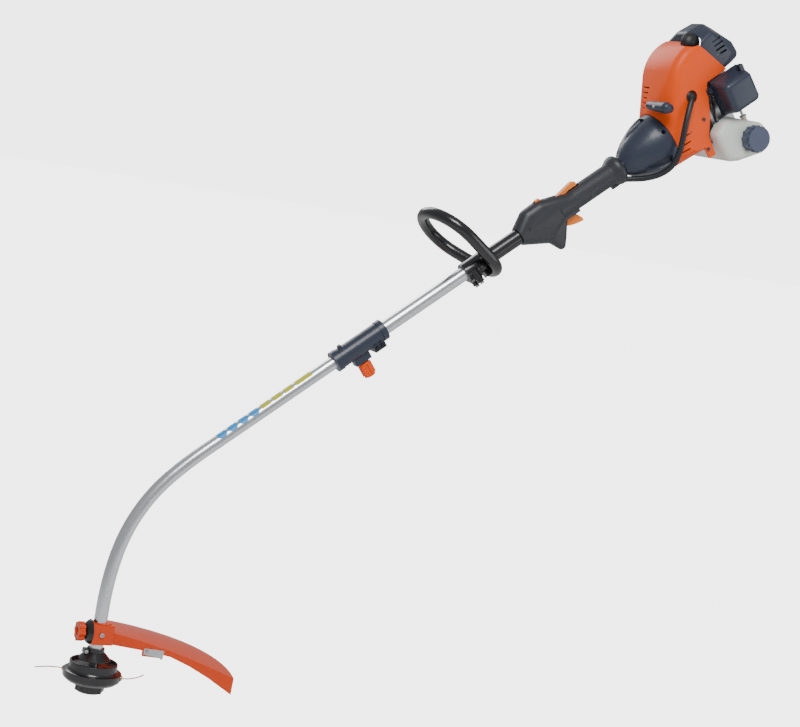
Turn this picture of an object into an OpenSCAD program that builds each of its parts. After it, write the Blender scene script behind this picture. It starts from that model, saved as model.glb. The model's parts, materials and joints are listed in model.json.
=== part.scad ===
// Curved-shaft petrol brush cutter with a bump-feed line head.
// Origin: centre of the bump knob's lower face. +Z runs up the head's spin axis,
// +X points from the head towards the engine, -Y is the air filter's side.
// Parts of the boom and engine are drawn in a boom frame: its z runs up the straight
// boom from the end of the bend, its x points away from the ground and its y to the filter's side.

/* [Boom] */
// Angle of the straight boom above the head's plane
boom_angle = 40.3; // [34:0.1:48]
// Outer diameter of the lower, bent tube
lower_tube_d = 25.4; // [22:0.1:30]
// Outer diameter of the upper, straight tube
upper_tube_d = 28; // [24:0.1:34]
// Wall of both tubes
tube_wall = 1.5; // [1:0.1:2.5]
// Height at which the lower tube starts to bend
bend_start = 163; // [150:1:200]
// Radius of the bend's gentle first stretch
bend_r1 = 540; // [450:5:650]
// Radius of the bend's tight middle stretch
bend_r2 = 316; // [260:2:380]
// Radius of the bend's gentle last stretch
bend_r3 = 700; // [560:5:840]
// Length of the coupler that joins the two tubes
coupler_len = 120; // [100:1:150]
// Straight boom between the bend and the coupler
lower_run = 305; // [250:1:370]
// Upper tube between the coupler and the loop handle's clamp
upper_run = 201; // [160:1:250]
// Depth to which the lower tube plugs into the coupler
plug_depth = 62; // [50:1:70]

/* [Handles] */
// Length of the loop handle's clamp along the tube
loop_clamp_len = 64; // [50:1:80]
// Outer diameter of the loop handle's rod
loop_rod_d = 24; // [18:0.5:28]
// Lean of the loop handle towards the head
loop_lean = 18; // [10:1:30]
// Turn of the loop handle about the tube
loop_turn = 22; // [0:1:35]
// Distance from the tube's axis to the centre of the loop's wide end
loop_rise = 78; // [70:1:95]
// Radius of the loop's wide end, at the rod's centre
loop_r = 71; // [60:1:80]
// Length of the spacer sleeve in front of the rear grip
spacer_len = 74; // [55:1:100]
// Length of the rear grip with its throttle housing
grip_len = 264; // [240:1:310]
// Diameter of the rear grip's tube
grip_d = 46; // [40:0.5:52]

/* [Cutting head] */
// Diameter of the cutting head's lower shell
head_d = 110; // [100:1:132]
// Diameter of the cutting head's rim
rim_d = 91; // [80:1:96]
// Height of the cutting head's rim above the ground
rim_z = 58; // [52:1:64]
// Diameter of the bump knob
bump_knob_d = 57; // [48:1:62]
// Travel of the bump knob
bump_travel = 5; // [3:0.5:6]
// Diameter of the cutting line
line_d = 2.4; // [1.6:0.1:3]

/* [Guard] */
// Radius of the guard's rim about the head's axis
guard_r = 268; // [240:1:300]
// Angle of the guard's sector
guard_sweep = 84; // [60:1:110]
// Thickness of the guard's wall
guard_wall = 2.6; // [2:0.1:4]
// Height of the guard's clamp
guard_clamp_h = 40; // [32:1:46]

/* [Engine] */
// Length of the clutch housing
cone_len = 103; // [98:1:112]
// Outer radius of the clutch housing's base
cone_r = 61; // [56:1:68]
// Cylinder bore
bore_d = 35; // [32:0.5:38]
// Piston stroke
stroke = 28; // [24:0.5:30]
// Half width of the fan shroud
shroud_half = 64; // [60:1:70]
// Wall of the moulded covers
cover_wall = 3; // [2:0.1:4]
// Radius of the fan wheel
fan_r = 58; // [52:0.5:62]
// Diameter of the fuel cap
cap_d = 56; // [48:1:62]
// Radius of the starter pulley's rope groove
pulley_r = 24; // [20:0.5:28]

/* [Hidden] */
$fn = 64;

// Gaps: between parts that never touch, in a running fit, and past a face that a cut goes through
gap = 0.4;
fit = 0.05;
eps = 1;

// Bend: three arcs turn the tube from upright to the boom's angle
bend_a1 = 11;
bend_a3 = 6.7;
bend_a2 = 90 - boom_angle - bend_a1 - bend_a3;
lower_r = lower_tube_d / 2;
upper_r = upper_tube_d / 2;

function arc_step(from, r, a0, a1) =
    [from[0] + r * (cos(a0) - cos(a1)), from[1] + r * (sin(a1) - sin(a0))];
bend_p0 = [0, bend_start];
bend_p1 = arc_step(bend_p0, bend_r1, 0, bend_a1);
bend_p2 = arc_step(bend_p1, bend_r2, bend_a1, bend_a1 + bend_a2);
bend_p3 = arc_step(bend_p2, bend_r3, bend_a1 + bend_a2, 90 - boom_angle);

// Stations along the straight boom
coupler_z = lower_run;
lower_end_z = coupler_z + plug_depth;
upper_start_z = lower_end_z + 6;
loop_z = coupler_z + coupler_len + upper_run;
spacer_z = loop_z + loop_clamp_len;
grip_z = spacer_z + spacer_len;
engine_z = grip_z + grip_len + 6;
upper_end_z = engine_z + 28;

// Stations behind the front of the clutch housing
drum_e = 50;
drum_len = 36;
drum_r = 33.5;
pulley_e = 110;
shoulder_e = 127;
fan_e = 132;
crank_wall_e = 196;
web_e = 232;
web_t = 9;
rod_e = 244.5;
rod_t = 9;
cyl_e = rod_e + rod_t / 2;
case_end_e = 273;
throw = stroke / 2;
crank_r = 7.5;
shaft_r = 4;
web_r = 24;
rod_len = 52;
piston_r = bore_d / 2 - 0.1;
deck_x = throw + rod_len + 15;
head_top_x = deck_x + 31;
base_x = 46;
intake_x = 56;
exhaust_x = 84;
plate_e = crank_wall_e + 4;
plate_t = 7;

// Cutting head stations
skirt_z = 20;
skirt_top_z = 40;
arbor_r = 5;
adapter_z = 62;
adapter_top_z = 85;
tube_bottom_z = 74;
clamp_z = 95;
clamp_mid_z = clamp_z + guard_clamp_h / 2;
guard_top_z = 122;
guard_tilt = 3;
block_x = [-17, 24];
block_half = 19;
guard_start = -12;

module at_boom(z = 0)
    translate([bend_p3[0], 0, bend_p3[1]])
        rotate([0, 90 - boom_angle, 0])
            rotate([0, 0, 180])
                translate([0, 0, z])
                    children();

module at_engine(e = 0) at_boom(engine_z + e) children();

module at_grip(g = 0) at_boom(grip_z + g) children();

module tube(r, wall, h)
    difference() {
        cylinder(r = r, h = h);
        translate([0, 0, -eps]) cylinder(r = r - wall, h = h + 2 * eps);
    }

// A solid of the bend between two radii from its centreline: the tube or what runs inside it
weld_half = 1.2;
module bent_rod(r_out, r_in = 0) {
    // Half the gap, in degrees, that a raised weld ring closes between two arcs
    weld = 0.05;
    module ring(r, lip)
        translate([r, 0])
            difference() {
                circle(r = r_out + lip);
                if (r_in > 0) circle(r = r_in - lip);
            }
    module placed(p, r, a0)
        translate([p[0], 0, p[1]])
            rotate([0, a0, 0])
                translate([r, 0, 0])
                    rotate([90, 0, 0])
                        children();
    module arc(p, r, a0, a)
        placed(p, r, a0)
            rotate([0, 0, 180 - a + weld])
                rotate_extrude(angle = a - 2 * weld, $fn = 720) ring(r, 0);
    module weld_ring(p, a0)
        translate([p[0], 0, p[1]])
            rotate([0, a0, 0])
                translate([0, 0, -weld_half])
                    difference() {
                        cylinder(r = r_out + 0.1, h = 2 * weld_half);
                        if (r_in > 0)
                            translate([0, 0, -eps]) cylinder(r = r_in - 0.1, h = 2 * weld_half + 2 * eps);
                    }
    arc(bend_p0, bend_r1, 0, bend_a1);
    arc(bend_p1, bend_r2, bend_a1, bend_a2);
    arc(bend_p2, bend_r3, bend_a1 + bend_a2, bend_a3);
    weld_ring(bend_p0, 0);
    weld_ring(bend_p1, bend_a1);
    weld_ring(bend_p2, bend_a1 + bend_a2);
    weld_ring(bend_p3, 90 - boom_angle);
}

// Cap screw with its head on the plane z = 0 and its shank below
module cap_screw(d, shank, head_h = 4)
    difference() {
        union() {
            cylinder(d = d * 1.75, h = head_h);
            translate([0, 0, -shank]) cylinder(d = d, h = shank + eps / 4);
        }
        translate([0, 0, head_h / 2]) cylinder(d = d * 0.9, h = head_h, $fn = 6);
    }

// Points on a smooth curve through a route
function curve_point(p0, p1, p2, p3, t) =
    0.5 * (2 * p1 + (p2 - p0) * t + (2 * p0 - 5 * p1 + 4 * p2 - p3) * t * t
        + (3 * p1 - p0 - 3 * p2 + p3) * t * t * t);
function route_at(p, i) = p[max(0, min(len(p) - 1, i))];
function smooth_route(p, n) = [
    for (i = [0:len(p) - 2])
        for (k = [0:n - 1])
            curve_point(route_at(p, i - 1), p[i], p[i + 1], route_at(p, i + 2), k / n),
    p[len(p) - 1]
];
function unit(v) = v / norm(v);
function heading(p, i) = unit(route_at(p, i + 1) - route_at(p, i - 1));

// A round solid swept along a route; side is a direction that the route never takes
module swept(p, r, sides, side) {
    rings = [
        for (i = [0:len(p) - 1])
            let (t = heading(p, i), a = unit(cross(side, t)), b = cross(t, a))
                for (k = [0:sides - 1])
                    p[i] + r * (cos(360 * k / sides) * a + sin(360 * k / sides) * b)
    ];
    n = len(p);
    walls = [
        for (i = [0:n - 2])
            for (k = [0:sides - 1])
                let (m = (k + 1) % sides)
                    [i * sides + k, (i + 1) * sides + k, (i + 1) * sides + m, i * sides + m]
    ];
    first = [for (k = [0:sides - 1]) k];
    last = [for (k = [0:sides - 1]) n * sides - 1 - k];
    polyhedron(points = rings, faces = concat(walls, [first], [last]), convexity = 6);
}

// ---- Lower boom ----

module lower_tube() color("silver") {
    translate([0, 0, tube_bottom_z]) tube(lower_r, tube_wall, bend_start - weld_half / 2 - tube_bottom_z);
    bent_rod(lower_r, lower_r - tube_wall);
    at_boom(weld_half / 2) tube(lower_r, tube_wall, lower_end_z - weld_half / 2);
}

module flexible_shaft() color("dimgray") {
    flex_r = 3.5;
    translate([0, 0, 130]) cylinder(r = flex_r, h = bend_start - weld_half / 2 - 130);
    bent_rod(flex_r);
    at_boom(weld_half / 2) cylinder(r = flex_r, h = lower_end_z - 4);
}

// Height of the guard's upper surface at a radius: a dome that steepens towards the rim
function guard_z(r) = guard_top_z - 0.13 * r - 0.00042 * r * r;
guard_radii = [20, 60, 100, 140, 180, 220, guard_r];

cutter_x = 94;
knob_shank_r = 3;
saddle_t = 13;

module guard_sector(radii, drop)
    rotate([0, 0, guard_start])
        rotate_extrude(angle = guard_sweep)
            polygon(concat(
                [for (r = radii) [r, guard_z(r)]],
                [for (k = [len(radii) - 1:-1:0]) [radii[k], guard_z(radii[k]) - drop]]
            ));

// Upright plate along an edge of the sector, deeper towards the rim
module guard_flange(a, depths)
    rotate([0, 0, a])
        translate([0, guard_wall, 0])
            rotate([90, 0, 0])
                linear_extrude(guard_wall)
                    polygon(concat(
                        [for (r = guard_radii) [r, guard_z(r) - 0.3]],
                        [for (k = [len(guard_radii) - 1:-1:0]) [guard_radii[k], guard_z(guard_radii[k]) - depths[k]]]
                    ));

module guard() color("orangered")
    difference() {
        union() {
            rotate([guard_tilt, 0, 0]) {
                guard_sector(guard_radii, guard_wall);
                guard_sector([guard_r - guard_wall, guard_r], 12);
                guard_flange(guard_start, [24, 20, 15, 11, 15, 22, 33]);
                guard_flange(guard_start + guard_sweep - 0.7, [12, 12, 12, 12, 12, 13, 14]);
                // Cutter's mounting foot below the near edge
                rotate([0, 0, guard_start]) translate([86, 0, guard_z(100) - 25]) cube([38, 9, 20]);
            }
            // Clamp block round the tube and the raised boss behind it
            translate([block_x[0], -block_half, clamp_z])
                cube([block_x[1] - block_x[0], 2 * block_half - 2, guard_clamp_h - 2]);
            translate([5, 0, clamp_z]) cylinder(r = 17.5, h = guard_clamp_h);
        }
        translate([0, 0, 60]) cylinder(r = lower_r, h = 110);
        translate([block_x[0] - 5, 0, clamp_mid_z]) rotate([0, 90, 0]) cylinder(r = knob_shank_r + fit, h = 9);
        translate([0, -block_half - eps, clamp_mid_z]) rotate([-90, 0, 0]) cylinder(d = 5, h = 14);
        rotate([guard_tilt, 0, 0])
            rotate([0, 0, guard_start])
                translate([cutter_x, -eps, guard_z(100) - 15]) rotate([-90, 0, 0]) cylinder(d = 4, h = 12);
    }

module clamp_saddle() color([0.1, 0.1, 0.11])
    difference() {
        intersection() {
            translate([block_x[0] + 12, 0, clamp_mid_z]) sphere(r = 27);
            translate([block_x[0] - saddle_t, -24, clamp_mid_z - 24]) cube([saddle_t, 48, 48]);
        }
        translate([-40, 0, clamp_mid_z]) rotate([0, 90, 0]) cylinder(r = knob_shank_r + fit, h = 40);
    }

module lower_bolts() color("lightgray") {
    // Set screw in the clamp block's near face
    translate([0, -block_half, clamp_mid_z]) rotate([90, 0, 0]) cap_screw(5, block_half - lower_r);
    // Pinch bolt of the head's adapter
    translate([-20.6, -7, adapter_top_z - 6.5]) rotate([90, 0, 0]) cap_screw(4, 12, 3);
    // Screw of the line cutter
    rotate([guard_tilt, 0, 0])
        rotate([0, 0, guard_start])
            translate([cutter_x, -1.5, guard_z(100) - 15]) rotate([90, 0, 0]) cap_screw(4, 9, 2.4);
}

module cutter_blade() color("gainsboro")
    rotate([guard_tilt, 0, 0])
        rotate([0, 0, guard_start])
            translate([cutter_x, 0, guard_z(100) - 15])
                difference() {
                    rotate([90, 0, 0])
                        linear_extrude(1.5)
                            polygon([[-6, -6], [24, -9], [30, -13], [32, -9], [32, 6], [-6, 6]]);
                    translate([0, -3, 0]) rotate([-90, 0, 0]) cylinder(d = 4, h = 5);
                }

module guard_knob() color("orangered") {
    knob_r = 19;
    knob_h = 12;
    translate([block_x[0] - saddle_t - gap, 0, clamp_mid_z])
        rotate([0, -90, 0])
            difference() {
                union() {
                    cylinder(r = knob_r - 3, h = knob_h);
                    for (a = [0:45:315])
                        rotate([0, 0, a]) translate([knob_r - 4, 0, 0]) cylinder(r = 4, h = knob_h);
                    translate([0, 0, -saddle_t - gap - 3.7]) cylinder(r = knob_shank_r, h = saddle_t + 5);
                }
                translate([0, 0, knob_h - 3]) cylinder(r = 8, h = 5);
            }
}

module head_adapter() color([0.12, 0.12, 0.13])
    difference() {
        union() {
            translate([0, 0, adapter_z]) cylinder(r = 30, h = 3);
            translate([0, 0, adapter_z + 3]) cylinder(r1 = 30, r2 = 18, h = 12);
            translate([0, 0, adapter_z + 15]) cylinder(r = 16.5, h = adapter_top_z - adapter_z - 15);
            // Lug of the pinch bolt
            translate([-24.5, -7, adapter_top_z - 11]) cube([14, 14, 9]);
        }
        translate([0, 0, adapter_z - eps]) cylinder(r = arbor_r + fit, h = 60);
        translate([0, 0, tube_bottom_z]) cylinder(r = lower_r, h = 60);
        // Slot and the bolt's bore
        translate([-26, -0.8, adapter_top_z - 15]) cube([18, 1.6, 22]);
        translate([-20.6, -12, adapter_top_z - 6.5]) rotate([-90, 0, 0]) cylinder(d = 4, h = 24);
    }

// ---- Cutting head ----

ceiling_z = skirt_top_z + 6;
eyelet_z = 35;
eyelet_turn = -27;
eyelet_wall = 5;
spool_z = skirt_z + bump_travel;
spool_h = 11;
spool_bore_r = 12;

module head_housing() color([0.1, 0.1, 0.11])
    difference() {
        rotate_extrude()
            polygon([
                [46, skirt_z], [head_d / 2 - 1.5, skirt_z + 6], [head_d / 2, skirt_z + 9],
                [head_d / 2, skirt_top_z], [head_d / 2 - 1.5, skirt_top_z + 1], [rim_d / 2 + 2, skirt_top_z + 1.5],
                [rim_d / 2, skirt_top_z + 4], [rim_d / 2, rim_z - 1], [rim_d / 2 - 1, rim_z],
                [rim_d / 2 - 3.5, rim_z], [rim_d / 2 - 5, ceiling_z + 6],
                [arbor_r, ceiling_z + 4], [arbor_r, ceiling_z], [rim_d / 2 - 6, ceiling_z],
                [head_d / 2 - eyelet_wall, skirt_top_z - 3], [head_d / 2 - eyelet_wall, skirt_z + 7], [42, skirt_z + 3],
                [bump_knob_d / 2 + 1, skirt_z + 3], [bump_knob_d / 2 + 1, skirt_z]
            ]);
        for (a = [0, 180])
            rotate([0, 0, a + eyelet_turn]) translate([head_d / 2 - 14, 0, eyelet_z]) rotate([0, 90, 0])
                cylinder(r = 4, h = 20);
    }

module line_eyelets() color("peru")
    for (a = [0, 180])
        rotate([0, 0, a + eyelet_turn]) translate([head_d / 2 - eyelet_wall, 0, eyelet_z]) rotate([0, 90, 0])
            rotate_extrude()
                polygon([
                    [line_d / 2 + 0.2, 0], [4, 0], [4, eyelet_wall], [5.4, eyelet_wall], [5.4, eyelet_wall + 1.6],
                    [4, eyelet_wall + 2.6], [line_d / 2 + 0.8, eyelet_wall + 2.6], [line_d / 2 + 0.2, eyelet_wall + 1.4]
                ]);

module head_arbor() color("gray") {
    arbor_z = skirt_z + bump_travel;
    translate([0, 0, arbor_z]) cylinder(r = arbor_r, h = 128 - arbor_z);
    // Collar that holds the housing down
    translate([0, 0, ceiling_z + 4.4]) cylinder(r = 9, h = adapter_z - ceiling_z - 5.4);
}

// Routes of the two cutting lines, outwards from their eyelets
line_left_route = [[0, 0, 0], [8, 0, 0], [18, 2, 0], [30, 6, 0], [42, 12, -1], [54, 20, -2]];
line_right_route = [[0, 0, 0], [8, 0, 0], [16, 3, 0], [25, 9, 1], [34, 17, 3], [42, 27, 6]];

module at_eyelet(a)
    rotate([0, 0, a + eyelet_turn]) translate([head_d / 2 - eyelet_wall + 1, 0, eyelet_z]) children();

module cutting_line_left() color("indianred")
    at_eyelet(180) swept(smooth_route(line_left_route, 2), line_d / 2, 8, [0, 0, 1]);

module cutting_line_right() color("indianred")
    at_eyelet(0) swept(smooth_route(line_right_route, 2), line_d / 2, 8, [0, 0, 1]);

module bump_spring() color("silver")
    translate([0, 0, spool_z + spool_h]) tube(10.5, 3, ceiling_z - spool_z - spool_h);

module spool() color("darkorange")
    translate([0, 0, spool_z])
        rotate_extrude()
            polygon([
                [spool_bore_r, 0], [38, 0], [38, 2], [18, 2], [18, spool_h - 2],
                [38, spool_h - 2], [38, spool_h], [spool_bore_r, spool_h]
            ]);

module bump_knob() color([0.1, 0.1, 0.11])
    difference() {
        union() {
            cylinder(r = bump_knob_d / 2 - 5, h = 4);
            translate([0, 0, 3]) cylinder(r = bump_knob_d / 2 - 3, h = skirt_z - 3.4);
            for (a = [0:60:300])
                rotate([0, 0, a]) translate([bump_knob_d / 2 - 6, 0, 2]) cylinder(r = 6, h = 14);
            translate([0, 0, 16]) cylinder(r = spool_bore_r - fit, h = spool_z + spool_h - 16);
        }
        translate([0, 0, 15]) cylinder(r = arbor_r + fit, h = 40);
    }

// ---- Coupler and upper tube ----

module upper_tube() color("silver")
    at_boom(upper_start_z) tube(upper_r, tube_wall, upper_end_z - upper_start_z);

coupler_knob_z = 52;

module coupler_body() color([0.16, 0.17, 0.19])
    at_boom(coupler_z)
        difference() {
            union() {
                cylinder(r = 20, h = coupler_len);
                cylinder(r = 21.5, h = 12);
                translate([0, 0, coupler_len - 12]) cylinder(r = 21.5, h = 12);
                translate([-32, -9, coupler_knob_z - 18]) cube([24, 18, 36]);
                translate([-28, -15, 80]) cube([16, 30, 26]);
            }
            translate([0, 0, -eps]) cylinder(r = lower_r + fit, h = plug_depth + 3 + eps);
            translate([0, 0, plug_depth + 2]) cylinder(r = shaft_r + 3, h = 10);
            translate([0, 0, plug_depth + 6]) cylinder(r = upper_r, h = coupler_len);
            // Thread for the knob, bore for the release button and slot for the pinch
            translate([-40, 0, coupler_knob_z]) rotate([0, 90, 0]) cylinder(r = 4 + fit, h = 30);
            translate([10, 0, 24]) rotate([0, 90, 0]) cylinder(r = 4.5 + fit, h = 16);
            translate([-36, -0.8, 76]) cube([26, 1.6, coupler_len]);
            for (z = [87, 99])
                translate([-21, -20, z]) rotate([-90, 0, 0]) cylinder(d = 5, h = 40);
        }

module coupler_knob() color("orangered")
    at_boom(coupler_z + coupler_knob_z)
        rotate([0, -90, 0]) {
            translate([0, 0, 34])
                difference() {
                    union() {
                        cylinder(r = 11.5, h = 30);
                        for (a = [0:72:288])
                            rotate([0, 0, a]) translate([11, 0, 4]) cylinder(r = 3.5, h = 24);
                    }
                    translate([0, 0, 24]) cylinder(r = 6.5, h = 10);
                }
            translate([0, 0, lower_r + 0.6]) cylinder(r = 4, h = 35 - lower_r);
        }

module release_button() color([0.35, 0.36, 0.38])
    at_boom(coupler_z + 24)
        rotate([0, 90, 0])
            translate([0, 0, lower_r + 3.6]) cylinder(r = 4.5, h = 8);

module drive_shaft() color("lightsteelblue")
    at_boom(lower_end_z + 2)
        cylinder(r = shaft_r, h = engine_z + drum_e - lower_end_z - 2);

// ---- Loop handle ----

loop_low_r = 46;
loop_low_x = 15;
loop_clamp_r = 20.5;
loop_root_z = loop_z + 48;
loop_lean_x = loop_rise - loop_low_x;
loop_belt = asin((loop_r - loop_low_r) / loop_lean_x);

// The loop's closed path: a belt round a small low circle and a large high one
function loop_point(r, x, a) = [x + r * cos(a), r * sin(a), 0];
loop_path = concat(
    [for (k = [0:20]) loop_point(loop_r, loop_rise, (90 + loop_belt) * (k / 10 - 1))],
    [for (k = [0:14]) loop_point(loop_low_r, loop_low_x, 90 + loop_belt + (90 - loop_belt) * k / 7)]
);

// A closed ring of round section along a flat path, whose plane is z = 0
module swept_ring(p, r, sides) {
    n = len(p);
    rings = [
        for (i = [0:n - 1])
            let (t = unit(p[(i + 1) % n] - p[(i + n - 1) % n]), b = [0, 0, 1], a = cross(t, b))
                for (k = [0:sides - 1])
                    p[i] + r * (cos(360 * k / sides) * a + sin(360 * k / sides) * b)
    ];
    polyhedron(
        points = rings,
        faces = [
            for (i = [0:n - 1])
                for (k = [0:sides - 1])
                    let (m = (k + 1) % sides, j = (i + 1) % n)
                        [i * sides + k, i * sides + m, j * sides + m, j * sides + k]
        ],
        convexity = 8
    );
}

module loop_handle() color([0.08, 0.08, 0.09])
    at_boom() rotate([0, 0, -loop_turn])
        difference() {
            union() {
                translate([0, 0, loop_root_z]) rotate([0, loop_lean, 0])
                    swept_ring(loop_path, loop_rod_d / 2, 20);
                translate([0, 0, loop_z]) cylinder(r = loop_clamp_r, h = loop_clamp_len);
                translate([-31, -9, loop_z + 34]) cube([20, 18, 26]);
            }
            translate([0, 0, loop_z - 20]) cylinder(r = upper_r + fit, h = loop_clamp_len + 60);
            // The cap's seat, below the tube
            translate([-60, -45, loop_z - eps]) cube([56, 90, 30]);
        }

module loop_cap() color([0.08, 0.08, 0.09])
    at_boom(loop_z) rotate([0, 0, -loop_turn])
        difference() {
            union() {
                intersection() {
                    cylinder(r = loop_clamp_r, h = 28);
                    translate([-60, -45, 0]) cube([55, 90, 40]);
                }
                for (s = [-1, 1])
                    translate([-33, s * 16, 15]) rotate([0, 90, 0]) cylinder(r = 7.5, h = 28);
                translate([-24, -17, 5]) cube([10, 34, 20]);
            }
            translate([0, 0, -eps]) cylinder(r = upper_r + fit, h = loop_clamp_len + 2);
            for (s = [-1, 1])
                translate([-40, s * 17, 15]) rotate([0, 90, 0]) cylinder(d = 5, h = 40);
        }

module loop_bolts() color("silver")
    at_boom(loop_z) rotate([0, 0, -loop_turn])
        for (s = [-1, 1])
            translate([-33, s * 17, 15]) rotate([0, -90, 0]) cap_screw(5, 28);

module spacer_sleeve() color([0.08, 0.08, 0.09])
    at_boom(spacer_z + gap)
        difference() {
            cylinder(r = upper_r + 2.2, h = spacer_len - 2 * gap);
            translate([0, 0, -eps]) cylinder(r = upper_r, h = spacer_len + 2 * eps);
        }

// ---- Rear grip ----

grip_r = grip_d / 2;
trigger_pivot = [-27, 97];
lock_pivot = [21, 112];
pivot_r = 2.5;
housing_half = 23;

module grip_shape() {
    // Throttle housing, its nose and the flanged rear tube
    hull() {
        cylinder(r = 20, h = 4, $fn = 32);
        for (p = [[22, 36, 19], [22, 66, 20], [4, 118, grip_r - 1], [-30, 56, 18]])
            translate([p[0], 0, p[1]]) sphere(r = p[2], $fn = 32);
    }
    hull() {
        translate([-34, 0, 62]) sphere(r = 15, $fn = 32);
        translate([-67, 0, 76]) sphere(r = 9.5, $fn = 32);
        translate([-56, 0, 84]) sphere(r = 9.5, $fn = 32);
        translate([-24, 0, 96]) sphere(r = 15, $fn = 32);
    }
    translate([-24, -16, 96]) cube([20, 32, 44]);
    translate([0, 0, 100])
        rotate_extrude()
            polygon([
                [0, 0], [grip_r, 0], [grip_r, grip_len - 128], [grip_r + 3, grip_len - 122],
                [grip_r + 7, grip_len - 115], [grip_r + 8.5, grip_len - 110],
                [grip_r + 8.5, grip_len - 106], [grip_r + 6, grip_len - 101],
                [grip_r + 2, grip_len - 100], [0, grip_len - 100]
            ]);
}

module grip_slots() {
    translate([0, 0, -eps]) cylinder(r = upper_r, h = grip_len + 2 * eps);
    // Trigger's and lock lever's slots, with their pivots' bores
    translate([-60, -5.5, 88]) cube([45.4, 11, 64]);
    translate([14.4, -6.5, 104]) cube([30, 13, 62]);
    translate([35.6, -5.5, 60]) cube([20, 11, 30]);
    translate([trigger_pivot[0], 0, trigger_pivot[1]])
        rotate([90, 0, 0]) cylinder(r = pivot_r + fit, h = 24, center = true);
    translate([lock_pivot[0], 0, lock_pivot[1]])
        rotate([90, 0, 0]) cylinder(r = pivot_r + fit, h = 22, center = true);
    // Conduit's way out of the flange
    translate([-24, 4.2, grip_len - 36]) cylinder(r = conduit_d / 2 + 1, h = 60);
}

module grip_half(side)
    at_grip()
        difference() {
            intersection() {
                grip_shape();
                translate([-120, side > 0 ? 0.02 : -60.02, -20]) cube([240, 60, grip_len + 60]);
            }
            grip_slots();
            for (p = cover_screw_grip)
                translate([p[0], p[2], p[1]]) rotate([-90, 0, 0]) {
                    translate([0, 0, -p[3] - 0.5]) cylinder(d = 4.1, h = 40);
                    cylinder(d = 8, h = 30);
                }
        }

module grip_left() color([0.24, 0.26, 0.31]) grip_half(1);

module grip_right() color([0.24, 0.26, 0.31]) grip_half(-1);

module throttle_trigger() color("orange")
    at_grip()
        union() {
            translate([0, -4.5, 0])
                rotate([-90, 0, 0])
                    mirror([0, 1, 0])
                        linear_extrude(9)
                            polygon([
                                [-31, 94], [-24, 92], [-22, 97], [-26, 120], [-31, 136], [-43, 143],
                                [-49, 142], [-46, 124], [-41, 108]
                            ]);
            translate([trigger_pivot[0], 0, trigger_pivot[1]])
                rotate([90, 0, 0]) cylinder(r = pivot_r, h = 22, center = true);
        }

module throttle_lock() color("orange")
    at_grip()
        union() {
            translate([0, -5.5, 0])
                rotate([-90, 0, 0])
                    mirror([0, 1, 0])
                        linear_extrude(11)
                            polygon([
                                [18.5, 109], [24, 108], [28, 118], [34, 148], [34, 157], [31, 161],
                                [24, 162], [24, 140], [19, 118]
                            ]);
            translate([lock_pivot[0], 0, lock_pivot[1]])
                rotate([90, 0, 0]) cylinder(r = pivot_r, h = 20, center = true);
        }

module stop_switch() color("orange")
    at_grip(70)
        translate([36, -5, -6]) {
            cube([6, 10, 12]);
            translate([5, 1, 1]) cube([3, 8, 10]);
        }

// Place across and along, seat and shank of each grip screw
cover_screw_grip = [[8, 20, 17, 4], [-38, 66, 12, 12], [-8, 176, 20, 5]];
cover_screw_shroud = [[8, 181], [-51, 163]];

module cover_screws() color("silver") {
    at_grip()
        for (p = cover_screw_grip)
            translate([p[0], p[2], p[1]]) rotate([-90, 0, 0]) cap_screw(4, p[3], 2.4);
    at_engine()
        for (s = [-1, 1])
            for (p = cover_screw_shroud)
                translate([p[0], s * (shroud_half + 0.02), p[1]])
                    rotate([-90 * s, 0, 0]) cap_screw(4, 14, 2.4);
    at_engine(cone_len - 12)
        for (a = [60, 180, 300])
            rotate([0, 0, a]) translate([cone_r - 4, 0, 0])
                rotate([0, 60, 0]) cap_screw(4, 8, 2.4);
    at_boom(coupler_z)
        for (z = [87, 99])
            translate([-21, 15, z]) rotate([-90, 0, 0]) cap_screw(5, 26);
}

// Route of the throttle conduit, in the boom frame behind the grip
conduit_d = 12;
conduit_route = [
    [-24, 4, 230], [-24, 4, 261], [-30, 12, 273], [-37, 24, 287], [-42, 38, 303], [-43, 53, 322],
    [-37, 66, 342], [-21, 74, 362], [-2, 76, 379], [20, 78, 396], [38, 77, 413], [53, 74, 430],
    [61, 68, 444], [64, 60, 452]
];

module throttle_conduit() color([0.12, 0.13, 0.15])
    at_grip() swept(smooth_route(conduit_route, 2), conduit_d / 2, 12, [0, 1, 0.2]);

// ---- Clutch ----

cone_profile = [
    [20, 0], [21.5, 3], [31, 14], [41, 30], [50, 50], [56, 66], [60, 82], [cone_r, 90],
    [cone_r, cone_len]
];
chamber_r = 38;

module clutch_housing() color([0.27, 0.29, 0.34])
    at_engine()
        difference() {
            rotate_extrude() polygon(concat([[0, 0]], cone_profile, [[0, cone_len]]));
            translate([0, 0, -eps]) cylinder(r = upper_r, h = 29 + eps);
            translate([0, 0, 26]) cylinder(r = shaft_r + fit, h = 12);
            translate([0, 0, 34]) cylinder(r = chamber_r, h = cone_len);
            translate([0, 0, cone_len - 10]) cylinder(r = cone_r - 6, h = 20);
            // Cooling scoops between the screws
            for (a = [0, 120, 240])
                rotate([0, 0, a])
                    translate([52, 0, 26]) rotate([0, 9.5, 0]) {
                        cylinder(r = 12, h = 62);
                        sphere(r = 12, $fn = 32);
                    }
            for (a = [60, 180, 300])
                rotate([0, 0, a]) translate([cone_r - 4, 0, cone_len - 12])
                    rotate([0, 60, 0]) {
                        cylinder(d = 9, h = 12);
                        translate([0, 0, -8]) cylinder(d = 4, h = 12);
                    }
        }

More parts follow.
